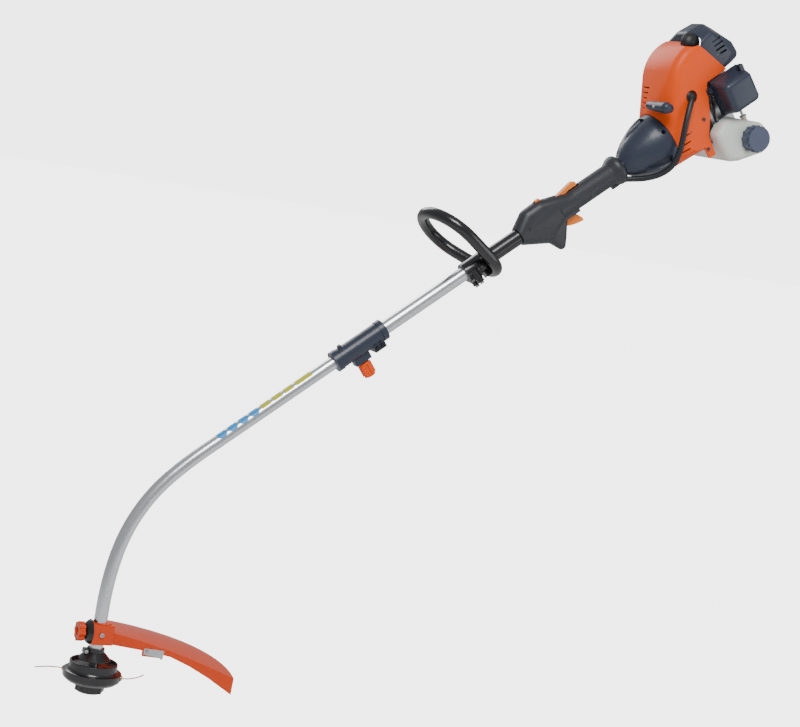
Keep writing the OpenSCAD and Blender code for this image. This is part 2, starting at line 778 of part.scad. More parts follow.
module clutch_drum() color("gray")
    at_engine(drum_e)
        difference() {
            union() {
                cylinder(r = drum_r, h = drum_len);
                translate([0, 0, -8]) cylinder(r = 9, h = 9);
            }
            translate([0, 0, 2.5]) cylinder(r = drum_r - 2.5, h = drum_len);
            translate([0, 0, -9]) cylinder(r = shaft_r, h = 9);
        }

module clutch_hub() color("darkgray")
    at_engine(drum_e + 14)
        difference() {
            union() {
                cylinder(r = 11, h = 16);
                translate([-14, -6, 0]) cube([28, 12, 16]);
            }
            translate([0, 0, -eps]) cylinder(r = crank_r, h = 18);
        }

// One of two curved shoes that slide out on the hub's arms
module clutch_shoe()
    difference() {
        intersection() {
            cylinder(r = drum_r - 4.3, h = 16);
            translate([0, -28, 0]) cube([30, 56, 16]);
        }
        translate([0, 0, -eps]) cylinder(r = 13, h = 18);
        translate([-eps, -6.4, -eps]) cube([18, 12.8, 18]);
        translate([-eps, -40, -eps]) cube([2.2, 80, 18]);
    }

module clutch_shoe_a() color("saddlebrown") at_engine(drum_e + 14) clutch_shoe();

module clutch_shoe_b() color("saddlebrown")
    at_engine(drum_e + 14) rotate([0, 0, 180]) clutch_shoe();

// ---- Starter ----

starter_x = 78;
starter_y = 52;
starter_e = 108;
starter_tilt = 40;
rope_r = 2.2;

module at_starter()
    at_engine(starter_e) translate([starter_x, starter_y, 0]) rotate([0, 180 - starter_tilt, 0]) children();

module starter_pulley() color("dimgray")
    at_engine(pulley_e)
        difference() {
            rotate_extrude()
                polygon([
                    [crank_r + fit, 0], [pulley_r + 5, 0], [pulley_r + 5, 2], [pulley_r, 4],
                    [pulley_r, 8], [pulley_r + 5, 10], [pulley_r + 5, 12], [crank_r + fit, 12]
                ]);
        }

module starter_handle() color([0.2, 0.22, 0.26])
    at_starter()
        difference() {
            hull() {
                translate([-2, -28, 6]) sphere(r = 9, $fn = 32);
                translate([0, 32, 6]) sphere(r = 12, $fn = 32);
                translate([0, 30, -2]) sphere(r = 10, $fn = 32);
                translate([0, 0, -6]) cylinder(r = 9, h = 12, $fn = 32);
            }
            translate([0, 0, -20]) cylinder(r = rope_r + fit, h = 60);
            translate([0, 0, 8.6]) cylinder(r = 5, h = 16);
        }

module starter_rope() color("white")
    at_starter() {
        translate([0, 0, -24]) cylinder(r = rope_r, h = 38);
        translate([0, 0, 13.4]) sphere(r = 4.4);
    }

// ---- Fan shroud and covers ----

// The dome over the flywheel and the cylinder: its middle, its radius and its rounded rim
dome_x = 70;
dome_e = 225;
dome_r = 85;
dome_edge = 19;

// The shroud's outer form, shrunk by a wall: a fan casing that rises over the cylinder
module shroud_form(inset) {
    hull() {
        translate([0, 0, cone_len + inset]) cylinder(r = cone_r + 2 - inset, h = 4, $fn = 48);
        translate([0, 0, shoulder_e + 5]) cylinder(r = fan_r + 6 - inset, h = 30, $fn = 48);
        for (s = [-1, 1])
            translate([dome_x, s * (shroud_half - dome_edge), dome_e])
                rotate([90, 0, 0])
                    rotate_extrude($fn = 60)
                        translate([dome_r - dome_edge, 0]) circle(r = dome_edge - inset, $fn = 24);
        for (p = [[-34, 146], [-40, 200]])
            translate([p[0], 0, p[1]]) rotate([90, 0, 0])
                cylinder(r = 9 - inset, h = 2 * (shroud_half - inset), center = true, $fn = 32);
    }
}

// Side view of the line where the shroud ends and the covers behind it begin
rear_edge = [
    [240, 226], [160, 234], [71, 275], [70.5, 222], [60, 216], [48, 213], [4, 197], [-28, 177], [-62, 174], [-110, 174]
];

module fan_shroud() color("darkorange")
    at_engine()
        difference() {
            union() {
                difference() {
                    shroud_form(0);
                    shroud_form(cover_wall);
                }
                // Screw tab at the foot of the near side
                translate([-70, shroud_half - 6, 158]) cube([30, 6, 18]);
            }
            rotate([90, 0, 0])
                mirror([0, 0, 1])
                    linear_extrude(200, center = true)
                        polygon(concat(rear_edge, [[-110, 330], [240, 330]]));
            translate([0, 0, cone_len - 5]) cylinder(r = 34, h = 20);
            // Window for the muffler
            translate([muffler_x[0] - 6, -90, muffler_e[0] - 6]) cube([90, 50, 120]);
            // Vents low on both sides, and in the front
            for (s = [-1, 1])
                for (p = [[0, 136], [-15, 126], [-28, 118]])
                    translate([p[0], s * shroud_half, p[1]]) cube([3, 30, 18], center = true);
            for (k = [0:4])
                translate([70 + 8 * k, -34, 130]) cube([3, 40, 50], center = true);
            // Rope guide, conduit inlet and room for the plug's boot
            translate([starter_x, starter_y, starter_e])
                rotate([0, 180 - starter_tilt, 0]) cylinder(r = 3.2, h = 90, center = true);
            translate([conduit_end[0] - 1, 40, conduit_end[1] - 5]) rotate([-90, 0, 0]) cylinder(d = conduit_d + 14, h = 40);
            translate([152, 44, 236]) sphere(r = 17, $fn = 32);
            for (s = [-1, 1])
                for (p = cover_screw_shroud)
                    translate([p[0], s * 50, p[1]]) rotate([90, 0, 0]) cylinder(d = 4, h = 60, center = true);
        }

// Where the conduit enters the shroud, up from the crank's axis and behind the clutch housing
conduit_end = [64, 182];

module top_form(inset)
    hull() {
        for (s = [-1, 1])
            for (p = [[141, 246, 10], [146, 278, 10]])
                translate([p[0], s * (46 + cover_wall), p[1]]) sphere(r = p[2] - inset, $fn = 32);
        for (p = [[93, 300, 12], [78, 268, 12], [120, 292, 12]])
            translate([p[0], 44 + cover_wall, p[1]]) sphere(r = p[2] - inset, $fn = 32);
        for (s = [-1, 1])
            for (p = [[158, 254, 10], [154, 286, 12], [140, 296, 12]])
                translate([p[0], s * 16, p[1]]) sphere(r = p[2] - inset, $fn = 32);
        for (p = [[104, 308, 12], [86, 310, 12]])
            translate([p[0], 2, p[1]]) rotate([90, 0, 0])
                cylinder(r = p[2] - inset, h = 92 - 2 * inset, center = true, $fn = 32);
    }

module top_cover() color([0.25, 0.27, 0.32])
    at_engine()
        difference() {
            top_form(0);
            top_form(cover_wall);
            // The front edge follows the shroud's, with a clearance, and the underside is open
            rotate([90, 0, 0])
                mirror([0, 0, 1])
                    linear_extrude(200, center = true)
                        polygon([
                            [240, 100], [240, 226 + gap], [160, 234 + gap], [filter_x[1] + 4, 275 + gap],
                            [filter_x[1] + 4, 380], [40, 380], [40, 100]
                        ]);
            translate([150, 42, 238]) sphere(r = 19, $fn = 32);
            translate([145, 21, 243]) sphere(r = 9, $fn = 32);
            // Room for the cylinder's fins
            translate([40, -41, 200]) cube([base_x + 67 - 40, 82, cyl_e + 38 - 200]);
            translate([40, -100, 200]) cube([muffler_x[1] + 8 - 40, 59.5, 200]);
            // Cooling slots at the rear and on the near side
            for (k = [0:4])
                translate([88 + 8 * k, 10, 340]) cube([3.6, 50, 40], center = true);
            for (k = [0:3])
                translate([104 + 10 * k, 54, 284]) cube([4, 30, 24], center = true);
        }

// ---- Engine internals ----

module flywheel() color("silver")
    at_engine(fan_e)
        difference() {
            union() {
                cylinder(r = 44, h = 12);
                cylinder(r = fan_r, h = 3);
                cylinder(r = 14, h = 26);
                for (a = [0:20:340])
                    rotate([0, 0, a]) translate([42, -1, 1]) cube([fan_r - 43, 2, 17]);
            }
            translate([0, 0, -eps]) cylinder(r = crank_r, h = 40);
        }

module crankshaft() color("lightslategray")
    at_engine() {
        // Journal carries the hub, the pulley and the flywheel
        translate([0, 0, drum_e + 8]) cylinder(r = crank_r, h = web_e - drum_e - 7);
        translate([0, 0, web_e])
            difference() {
                cylinder(r = web_r, h = web_t);
                translate([10, -40, -eps]) cube([40, 22, 20]);
                translate([10, 18, -eps]) cube([40, 22, 20]);
            }
        // Crankpin's stub ends short of the rod
        translate([throw, 0, web_e + web_t - 0.01]) cylinder(r = 5, h = 2.6);
    }

module crankcase() color("silver")
    at_engine()
        difference() {
            union() {
                translate([0, 0, crank_wall_e]) cylinder(r = 24, h = 34);
                translate([0, 0, web_e - 6]) cylinder(r = 38, h = case_end_e - web_e + 6);
                translate([-46, -56, plate_e]) cube([134, 112, plate_t]);
                translate([20, -30, web_e - 4]) cube([base_x - 20, 60, case_end_e - web_e + 2]);
                for (y = [-40, 24])
                    translate([-48, y, plate_e + 2]) cube([26, 16, 60]);
            }
            translate([0, 0, crank_wall_e - eps]) cylinder(r = crank_r + fit, h = 60);
            translate([0, 0, web_e - 3]) cylinder(r = web_r + 6, h = case_end_e - web_e - 3);
            translate([0, 0, cyl_e]) rotate([0, 90, 0]) cylinder(d = bore_d + 0.4, h = 60);
            // Window in the plate for the cylinder and the cooling air
            translate([base_x + 2, -40, plate_e - eps]) cube([26, 80, plate_t + 2 * eps]);
        }

module cylinder_fins()
    for (k = [0:7])
        translate([base_x + 4 + 8.3 * k, 0, cyl_e])
            rotate([0, 90, 0])
                linear_extrude(2.4) square([k > 5 ? 60 : 72, 76], center = true);

module engine_cylinder() color("lightgray")
    at_engine()
        difference() {
            union() {
                translate([base_x, 0, cyl_e]) rotate([0, 90, 0]) cylinder(r = bore_d / 2 + 5, h = head_top_x - base_x);
                cylinder_fins();
                translate([base_x, -30, cyl_e - 24]) cube([5, 60, 44]);
                // Intake stub towards the carburettor, exhaust stub towards the muffler
                translate([intake_x, 12, cyl_e]) rotate([-90, 0, 0]) cylinder(r = 9.5, h = 28);
                translate([exhaust_x, -42, cyl_e]) rotate([-90, 0, 0]) cylinder(r = 13, h = 30);
            }
            translate([base_x - 6, 0, cyl_e]) rotate([0, 90, 0]) cylinder(r = bore_d / 2, h = deck_x - base_x + 9);
            translate([intake_x, 0, cyl_e]) rotate([-90, 0, 0]) cylinder(r = 7, h = 50);
            translate([exhaust_x, -50, cyl_e]) rotate([-90, 0, 0]) cylinder(r = 8, h = 50);
            translate([deck_x, 0, cyl_e]) rotate([0, 90, 0]) cylinder(r = 7, h = 40);
            translate([deck_x + 15, 0, cyl_e]) rotate([0, 90, 0]) cylinder(r = 13, h = 40);
        }

module piston() color("gainsboro")
    at_engine(cyl_e)
        rotate([0, 90, 0])
            difference() {
                translate([0, 0, throw + rod_len - 12]) cylinder(r = piston_r, h = 26);
                translate([0, 0, throw + rod_len - 13]) cylinder(r = piston_r - 3, h = 22);
                translate([0, 0, throw + rod_len]) rotate([0, 90, 0]) cylinder(r = 4, h = 60, center = true);
            }

module connecting_rod() color("slategray")
    at_engine(cyl_e)
        difference() {
            union() {
                translate([throw, 0, -rod_t / 2]) cylinder(r = 9, h = rod_t);
                translate([throw + rod_len, 0, -rod_t / 2]) cylinder(r = 6.5, h = rod_t);
                translate([throw, -4, -rod_t / 4]) cube([rod_len, 8, rod_t / 2]);
                translate([throw + rod_len, 0, 0]) cylinder(r = 3.95, h = 30, center = true);
            }
            translate([throw, 0, -rod_t]) cylinder(r = 5.1, h = 2 * rod_t);
        }

muffler_x = [58, 122];
muffler_e = [224, 282];

module muffler_box(inset)
    hull()
        for (x = [muffler_x[0] + 6, muffler_x[1] - 6])
            for (y = [-78, -48])
                translate([x, y, muffler_e[0] + inset])
                    cylinder(r = 6 - inset, h = muffler_e[1] - muffler_e[0] - 2 * inset, $fn = 32);

module muffler() color("dimgray")
    at_engine()
        difference() {
            muffler_box(0);
            muffler_box(2);
            translate([exhaust_x, -60, cyl_e]) rotate([-90, 0, 0]) cylinder(r = 8, h = 30);
            translate([muffler_x[0] + 16, -70, muffler_e[1] - 10]) cylinder(r = 5, h = 40);
        }

module spark_plug() color("whitesmoke")
    at_engine(cyl_e)
        rotate([0, 90, 0]) {
            translate([0, 0, deck_x + 3]) cylinder(r = 7, h = 12.1);
            translate([0, 0, deck_x + 15]) cylinder(r = 10, h = 7, $fn = 6);
            translate([0, 0, deck_x + 21]) cylinder(r = 5, h = 17);
        }

// Route of the plug's boot, from the plug to the recess in the covers
boot_route = [[118, 0, 249], [128, 1, 249], [136, 6, 248], [141, 15, 246], [143, 26, 243], [145, 37, 238], [147, 44, 234]];

module plug_cap() color([0.1, 0.1, 0.12])
    at_engine()
        difference() {
            union() {
                translate([deck_x + 24, 0, cyl_e]) rotate([0, 90, 0]) cylinder(r = 9, h = 20);
                swept(smooth_route(boot_route, 2), 6.5, 12, [0, 0, 1]);
            }
            translate([deck_x + 10, 0, cyl_e]) rotate([0, 90, 0]) cylinder(r = 5, h = 28);
        }

module ignition_coil() color([0.15, 0.15, 0.17])
    at_engine()
        translate([fan_r + 6, -16, 0]) {
            translate([0, 0, fan_e + 2]) cube([18, 32, 18]);
            // Pole shoes at the flywheel, and the legs that carry the coil
            for (y = [0, 23])
                translate([-3, y, fan_e + 5]) cube([5, 9, 9]);
            for (y = [2, 24])
                translate([12, y, fan_e + 19]) cube([6, 6, plate_e - fan_e - 19]);
        }

// ---- Carburettor and air filter ----

filter_e = [216, 299];
filter_x = [-8, 68];
filter_y = 61.6;
filter_depth = 59;

module carburettor() color("lightsteelblue")
    at_engine()
        difference() {
            union() {
                translate([intake_x - 15, 40, cyl_e - 18]) cube([30, 6, 36]);
                translate([intake_x - 18, 45, cyl_e - 14]) cube([28, filter_y - 45, 30]);
                translate([intake_x - 17, 53, cyl_e]) rotate([0, -90, 0]) cylinder(r = 7, h = 9);
            }
            translate([intake_x, 38, cyl_e]) rotate([-90, 0, 0]) cylinder(r = 7, h = 40);
        }

choke_pivot = [52, 217];
choke_pin_r = 1.9;

module choke_lever() color([0.1, 0.11, 0.13])
    at_engine()
        translate([choke_pivot[0], filter_y + 5.4, choke_pivot[1]])
            difference() {
                union() {
                    rotate([-90, 0, 0]) cylinder(r = 4.5, h = 4);
                    rotate([0, -101, 0]) translate([-1.5, 0.2, 0]) cube([3, 3, 62]);
                    rotate([0, -101, 0]) translate([-3, 0.2, 56]) cube([6, 3.6, 8]);
                }
                translate([0, -2, 0]) rotate([-90, 0, 0]) cylinder(r = choke_pin_r + fit, h = 20);
            }

module filter_base() color([0.2, 0.22, 0.26])
    at_engine() {
        difference() {
            translate([filter_x[0], filter_y, filter_e[0] + 8])
                cube([filter_x[1] - filter_x[0], 14, filter_e[1] - filter_e[0] - 8]);
            translate([filter_x[0] + 3, filter_y + 3, filter_e[0] + 11])
                cube([filter_x[1] - filter_x[0] - 6, 14, filter_e[1] - filter_e[0] - 14]);
            translate([intake_x, 38, cyl_e]) rotate([-90, 0, 0]) cylinder(r = 7, h = 40);
        }
        // Ear and pin of the choke lever
        translate([choke_pivot[0] - 6, filter_y + 2.8, choke_pivot[1] - 6]) cube([12, 2, 15]);
        translate([choke_pivot[0], filter_y + 4, choke_pivot[1]]) rotate([-90, 0, 0]) {
            cylinder(r = choke_pin_r, h = 6.2);
            translate([0, 0, 6]) cylinder(r = 4, h = 2);
        }
    }

module filter_element() color("dimgray")
    at_engine()
        translate([filter_x[0] + 6, filter_y + 3, filter_e[0] + 15])
            cube([filter_x[1] - filter_x[0] - 12, 20, filter_e[1] - filter_e[0] - 22]);

module filter_form(inset)
    hull() {
        for (x = filter_x)
            for (e = filter_e)
                translate([x + (x > 0 ? -9 : 9), filter_y + 16.2, e + (e < 250 ? 16 : -8)])
                    sphere(r = 8 - inset, $fn = 32);
        for (x = [8, 50])
            for (e = [235, 281])
                translate([x, filter_y + filter_depth - 13, e]) sphere(r = 12 - inset, $fn = 32);
    }

module filter_cover() color([0.25, 0.27, 0.32])
    at_engine()
        difference() {
            union() {
                filter_form(0);
                translate([filter_x[1] - 6, 92, 281]) cube([14, 12, 9]);
            }
            filter_form(2.6);
            translate([-100, filter_y - 20, 180]) cube([220, 34 + gap, 160]);
        }

// ---- Fuel tank ----

tank_y = 92;
tank_cap = [-75, 249];

tank_far = 52;
tank_wall = 2.5;
neck_r = 18;
tank_line = [75, 260];

module tank_form(inset)
    hull()
        for (p = [[-35, 194], [-27, 208], [-29, 226], [-69, 276], [-85, 280], [-104, 264], [-90, 210], [-83, 196]])
            for (y = [tank_y - 14, 12 - tank_far])
                translate([p[0], y, p[1]])
                    rotate([90, 0, 0]) sphere(r = (y > 0 ? 14 : 12) - inset, $fn = 24);

module fuel_tank() color([0.92, 0.91, 0.88])
    at_engine()
        difference() {
            union() {
                difference() {
                    tank_form(0);
                    // Step under the crankcase
                    translate([-48, -90, 160]) cube([80, 150, 160]);
                }
                translate([tank_cap[0], tank_y - 4, tank_cap[1]]) rotate([-90, 0, 0]) cylinder(r = neck_r, h = 11);
            }
            difference() {
                tank_form(tank_wall);
                translate([-48 - tank_wall, -90, 160]) cube([80, 150 + tank_wall, 160]);
            }
            translate([tank_cap[0], tank_y - 12, tank_cap[1]]) rotate([-90, 0, 0]) cylinder(r = neck_r - 3, h = 30);
            translate([-60, tank_line[0], tank_line[1]]) rotate([0, 90, 0]) cylinder(r = 5.5, h = 60);
        }

module fuel_cap() color([0.3, 0.33, 0.4])
    at_engine()
        translate([tank_cap[0], tank_y + 1, tank_cap[1]])
            rotate([-90, 0, 0])
                difference() {
                    union() {
                        cylinder(r = cap_d / 2 - 2.5, h = 26);
                        for (a = [0:30:330])
                            rotate([0, 0, a]) translate([cap_d / 2 - 4, 0, 1]) cylinder(r = 4, h = 20);
                    }
                    translate([0, 0, -eps]) cylinder(r = neck_r + fit, h = 8 + eps);
                }

module fuel_line() color([0.8, 0.8, 0.7])
    at_engine()
        translate([-47, tank_line[0], tank_line[1]]) rotate([0, 90, 0]) {
            tube(3, 1, 38);
            // Grommet that seals the line in the tank's wall
            translate([0, 0, 2]) tube(5.5, 2.6, 14);
            translate([0, 0, 15.4]) tube(7.5, 4.6, 3);
        }

lower_tube();
flexible_shaft();
guard();
clamp_saddle();
lower_bolts();
cutter_blade();
head_adapter();
guard_knob();
head_housing();
head_arbor();
line_eyelets();
cutting_line_left();
cutting_line_right();
bump_spring();
spool();
bump_knob();
upper_tube();
coupler_body();
coupler_knob();
release_button();
drive_shaft();
loop_handle();
loop_cap();
loop_bolts();
spacer_sleeve();
grip_left();
grip_right();
cover_screws();
throttle_trigger();
throttle_lock();
stop_switch();
throttle_conduit();
clutch_housing();
clutch_drum();
clutch_hub();
clutch_shoe_a();
clutch_shoe_b();
starter_pulley();
starter_handle();
starter_rope();
fan_shroud();
flywheel();
crankshaft();
crankcase();
engine_cylinder();
piston();
connecting_rod();
muffler();
top_cover();
spark_plug();
plug_cap();
ignition_coil();
carburettor();
choke_lever();
filter_base();
filter_element();
filter_cover();
fuel_tank();
fuel_cap();
fuel_line();
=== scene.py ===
"""Looks of a petrol brush cutter with a curved shaft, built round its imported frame."""

import json
import logging
import math
from collections.abc import Iterable, Sequence
from dataclasses import dataclass, field
from enum import Enum

import bmesh
import bpy
from mathutils import Matrix, Vector

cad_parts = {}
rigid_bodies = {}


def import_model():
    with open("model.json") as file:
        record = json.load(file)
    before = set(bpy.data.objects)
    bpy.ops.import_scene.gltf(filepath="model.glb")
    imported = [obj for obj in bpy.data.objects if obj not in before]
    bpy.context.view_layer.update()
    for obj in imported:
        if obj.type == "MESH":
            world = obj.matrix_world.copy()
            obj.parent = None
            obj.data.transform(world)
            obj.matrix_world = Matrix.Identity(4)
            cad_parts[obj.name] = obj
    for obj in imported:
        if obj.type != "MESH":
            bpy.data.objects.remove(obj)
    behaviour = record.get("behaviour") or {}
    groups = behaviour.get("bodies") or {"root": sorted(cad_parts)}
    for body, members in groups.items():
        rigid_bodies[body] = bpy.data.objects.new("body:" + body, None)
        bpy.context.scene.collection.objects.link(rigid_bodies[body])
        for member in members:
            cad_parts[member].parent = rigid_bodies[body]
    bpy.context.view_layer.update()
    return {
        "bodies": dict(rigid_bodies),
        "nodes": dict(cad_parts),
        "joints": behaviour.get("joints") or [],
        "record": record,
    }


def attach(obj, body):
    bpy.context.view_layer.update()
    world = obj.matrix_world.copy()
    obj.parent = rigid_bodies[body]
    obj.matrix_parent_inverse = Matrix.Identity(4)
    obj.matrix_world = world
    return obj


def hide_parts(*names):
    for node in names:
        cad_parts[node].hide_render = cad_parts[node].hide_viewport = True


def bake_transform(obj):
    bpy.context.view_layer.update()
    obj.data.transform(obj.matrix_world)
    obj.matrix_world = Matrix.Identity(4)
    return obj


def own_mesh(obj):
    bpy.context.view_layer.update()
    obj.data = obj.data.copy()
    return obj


LOG = logging.getLogger("brush_cutter")
MM = 0.001
Colour = tuple[float, float, float]


# ---- Shader graphs ----


class Signal:
    """A number that varies over a surface; arithmetic on it adds Math nodes."""

    def __init__(self, graph: "Graph", socket: bpy.types.NodeSocket) -> None:
        """Wraps a socket.

        Args:
            graph: The graph that the socket's node is in.
            socket: The output socket.
        """
        self.graph = graph
        self.socket = socket

    def __add__(self, other: "Signal | float") -> "Signal":
        """Sum."""
        return self.graph.math("ADD", self, other)

    __radd__ = __add__

    def __sub__(self, other: "Signal | float") -> "Signal":
        """Difference."""
        return self.graph.math("SUBTRACT", self, other)

    def __rsub__(self, other: "Signal | float") -> "Signal":
        """Difference, from the other side."""
        return self.graph.math("SUBTRACT", other, self)

    def __mul__(self, other: "Signal | float") -> "Signal":
        """Product."""
        return self.graph.math("MULTIPLY", self, other)

    __rmul__ = __mul__

    def __truediv__(self, other: "Signal | float") -> "Signal":
        """Quotient."""
        return self.graph.math("DIVIDE", self, other)

    def __pow__(self, other: "Signal | float") -> "Signal":
        """Power."""
        return self.graph.math("POWER", self, other)

    def __mod__(self, other: "Signal | float") -> "Signal":
        """Remainder, never negative."""
        return self.graph.math("FLOORED_MODULO", self, other)

    def __abs__(self) -> "Signal":
        """Size without sign."""
        return self.graph.math("ABSOLUTE", self)

    def sine(self) -> "Signal":
        """Sine of the number, in radians."""
        return self.graph.math("SINE", self)

    def below(self, edge: float, soft: float) -> "Signal":
        """A mask.

        Args:
            edge: Where the mask falls through a half.
            soft: Width of its slope.

        Returns:
            1 under the edge and 0 over it.
        """
        return self.graph.math("MULTIPLY_ADD", self, -1 / soft, edge / soft + 0.5, clamp=True)

    def above(self, edge: float, soft: float) -> "Signal":
        """The opposite mask of below."""
        return self.graph.math("MULTIPLY_ADD", self, 1 / soft, 0.5 - edge / soft, clamp=True)

    def between(self, low: float, high: float, soft: float) -> "Signal":
        """A mask that is 1 between two edges."""
        return self.above(low, soft) * self.below(high, soft)


class Graph:
    """The node tree of one material."""

    def __init__(self, name: str) -> None:
        """Starts an empty tree.

        Args:
            name: The material's name.
        """
        self.material = bpy.data.materials.new(name)
        self.material.use_nodes = True
        self.tree = self.material.node_tree
        self.tree.nodes.clear()

    def add(
        self, kind: str, settings: dict | None = None, sockets: dict | None = None
    ) -> bpy.types.Node:
        """Adds any node.

        Args:
            kind: The node's type.
            settings: Its own settings, set first; "stops" holds a ramp's stops.
            sockets: Values or links of its inputs.

        Returns:
            The node.
        """
        node = self.tree.nodes.new(kind)
        for key, value in (settings or {}).items():
            if key == "stops":
                ramp = node.color_ramp
                while len(ramp.elements) < len(value):
                    ramp.elements.new(0.5)
                for element, (position, colour) in zip(ramp.elements, value):
                    element.position = position
                    element.color = (*colour, 1.0)
            else:
                setattr(node, key, value)
        for key, value in (sockets or {}).items():
            source = value.socket if isinstance(value, Signal) else value
            if isinstance(source, bpy.types.NodeSocket):
                self.tree.links.new(source, node.inputs[key])
            else:
                node.inputs[key].default_value = source
        return node

    def math(self, operation: str, *values: Signal | float, clamp: bool = False) -> Signal:
        """Adds a Math node and returns its result."""
        node = self.add(
            "ShaderNodeMath",
            {"operation": operation, "use_clamp": clamp},
            dict(enumerate(values)),
        )
        return Signal(self, node.outputs[0])

    def place(self) -> bpy.types.NodeSocket:
        """The point on the piece, in metres."""
        return self.add("ShaderNodeTexCoord").outputs["Object"]

    def along(self, origin: Vector, direction: Vector) -> Signal:
        """How far a point lies from an origin along a direction."""
        moved = self.add(
            "ShaderNodeVectorMath", {"operation": "SUBTRACT"}, {0: self.place(), 1: tuple(origin)}
        )
        dot = self.add(
            "ShaderNodeVectorMath",
            {"operation": "DOT_PRODUCT"},
            {0: moved.outputs[0], 1: tuple(direction)},
        )
        return Signal(self, dot.outputs["Value"])

    def noise(
        self, scale: float, detail: float = 3.0, stretch: Sequence[float] = (1, 1, 1)
    ) -> Signal:
        """Noise on the piece's own place.

        Args:
            scale: Waves in a metre.
            detail: Octaves.
            stretch: How much denser it is along each axis.

        Returns:
            The noise, about 0 to 1.
        """
        mapped = self.add(
            "ShaderNodeMapping", {}, {"Vector": self.place(), "Scale": tuple(stretch)}
        )
        node = self.add(
            "ShaderNodeTexNoise",
            {},
            {"Vector": mapped.outputs[0], "Scale": scale, "Detail": detail, "Roughness": 0.6},
        )
        return Signal(self, node.outputs["Fac"])

    def pits(self, scale: float) -> Signal:
        """Distance to the nearest of scattered points, for spots and cast grain."""
        node = self.add("ShaderNodeTexVoronoi", {}, {"Vector": self.place(), "Scale": scale})
        return Signal(self, node.outputs["Distance"])

    def mix(
        self,
        factor: Signal,
        low: Colour | bpy.types.NodeSocket,
        high: Colour | bpy.types.NodeSocket,
    ) -> bpy.types.NodeSocket:
        """Blends two colours by a mask."""
        node = self.add("ShaderNodeMix", {"data_type": "RGBA"}, {0: factor})
        for index, value in ((6, low), (7, high)):
            if isinstance(value, bpy.types.NodeSocket):
                self.tree.links.new(value, node.inputs[index])
            else:
                node.inputs[index].default_value = (*value, 1.0)
        return node.outputs[2]


@dataclass
class Surface:
    """What varies over a finish: its colour, roughness, height and metal."""

    colour: bpy.types.NodeSocket
    roughness: Signal
    height: Signal
    metal: Signal | float = 0.0


@dataclass(frozen=True)
class Finish:
    """A moulded plastic, and the base of the other finishes."""

    name: str
    colour: Colour
    roughness: float = 0.4
    relief: float = 0.00004
    grain: float = 1400.0
    coat: float = 0.0
    specular: float = 0.5
    glow: float = 0.0
    variation: float = 0.1

    def tone(self, share: float) -> Colour:
        """The base colour, made lighter or darker."""
        return tuple(min(1.0, c * share) for c in self.colour)

    def surface(self, graph: Graph) -> Surface:
        """The moulding's fine grain, its faint flow marks and a few scuffs."""
        flow = graph.noise(9.0, 4.0)
        grain = graph.pits(self.grain)
        scuff = graph.noise(60.0, 6.0, (1, 5, 1)).above(0.66, 0.06)
        dust = graph.noise(320.0, 2.0).above(0.7, 0.08)
        colour = graph.mix(flow, self.tone(1 - self.variation), self.tone(1 + self.variation))
        colour = graph.mix(scuff * 0.12 + dust * 0.05, colour, self.tone(1.6))
        rough = self.roughness + (flow - 0.5) * 0.12 + scuff * 0.12
        return Surface(colour, rough, grain * 0.7 + graph.noise(260.0) * 0.3)

    def make(self) -> bpy.types.Material:
        """Builds the material.

        Returns:
            The finished material.
        """
        graph = Graph(self.name)
        skin = self.surface(graph)
        bump = graph.add(
            "ShaderNodeBump", {}, {"Strength": 0.8, "Distance": self.relief, "Height": skin.height}
        )
        shader = graph.add(
            "ShaderNodeBsdfPrincipled",
            {},
            {
                "Base Color": skin.colour,
                "Roughness": skin.roughness,
                "Metallic": skin.metal,
                "Normal": bump.outputs[0],
                "Coat Weight": self.coat,
                "Coat Roughness": 0.12,
                "Specular IOR Level": self.specular,
                "Subsurface Weight": self.glow,
                "Subsurface Scale": 0.01,
            },
        )
        graph.add("ShaderNodeOutputMaterial", {}, {"Surface": shader.outputs[0]})
        return graph.material


@dataclass(frozen=True)
class Metal(Finish):
    """A worked metal with fine marks along one direction."""

    metallic: float = 1.0
    marks: Vector = field(default_factory=lambda: Vector((30, 30, 30)))
    stain: Colour = (0.3, 0.28, 0.25)
    stains: float = 0.1

    def surface(self, graph: Graph) -> Surface:
        """Drawn marks, faint stains and varied gloss."""
        marks = graph.noise(self.grain / 30, 5.0, tuple(self.marks))
        cloud = graph.noise(26.0, 5.0)
        colour = graph.mix(cloud, self.tone(0.93), self.tone(1.06))
        colour = graph.mix(cloud.above(0.6, 0.2) * self.stains, colour, self.stain)
        rough = self.roughness + (marks - 0.5) * 0.16 + (cloud - 0.5) * 0.1
        return Surface(colour, rough, marks, self.metallic)


@dataclass(frozen=True)
class Cast(Finish):
    """Die-cast metal with a blasted skin."""

    metallic: float = 0.9

    def surface(self, graph: Graph) -> Surface:
        """Pits, flow clouds and darker oil stains."""
        pits = graph.pits(self.grain)
        cloud = graph.noise(18.0, 6.0)
        oil = graph.noise(7.0, 3.0).above(0.6, 0.15)
        colour = graph.mix(cloud, self.tone(0.85), self.tone(1.1))
        colour = graph.mix(oil * 0.35, colour, (0.12, 0.1, 0.08))
        rough = self.roughness + (cloud - 0.5) * 0.2 - oil * 0.1
        return Surface(colour, rough, pits, self.metallic)


@dataclass(frozen=True)
class Felt(Finish):
    """Matted fibres."""

    def surface(self, graph: Graph) -> Surface:
        """Crossing fibres of two directions."""
        warp = graph.noise(900.0, 2.0, (0.2, 1, 1))
        weft = graph.noise(900.0, 2.0, (1, 1, 0.2))
        colour = graph.mix(warp, self.tone(0.6), self.tone(1.5))
        return Surface(colour, self.roughness + (weft - 0.5) * 0.1, warp * 0.5 + weft * 0.5)


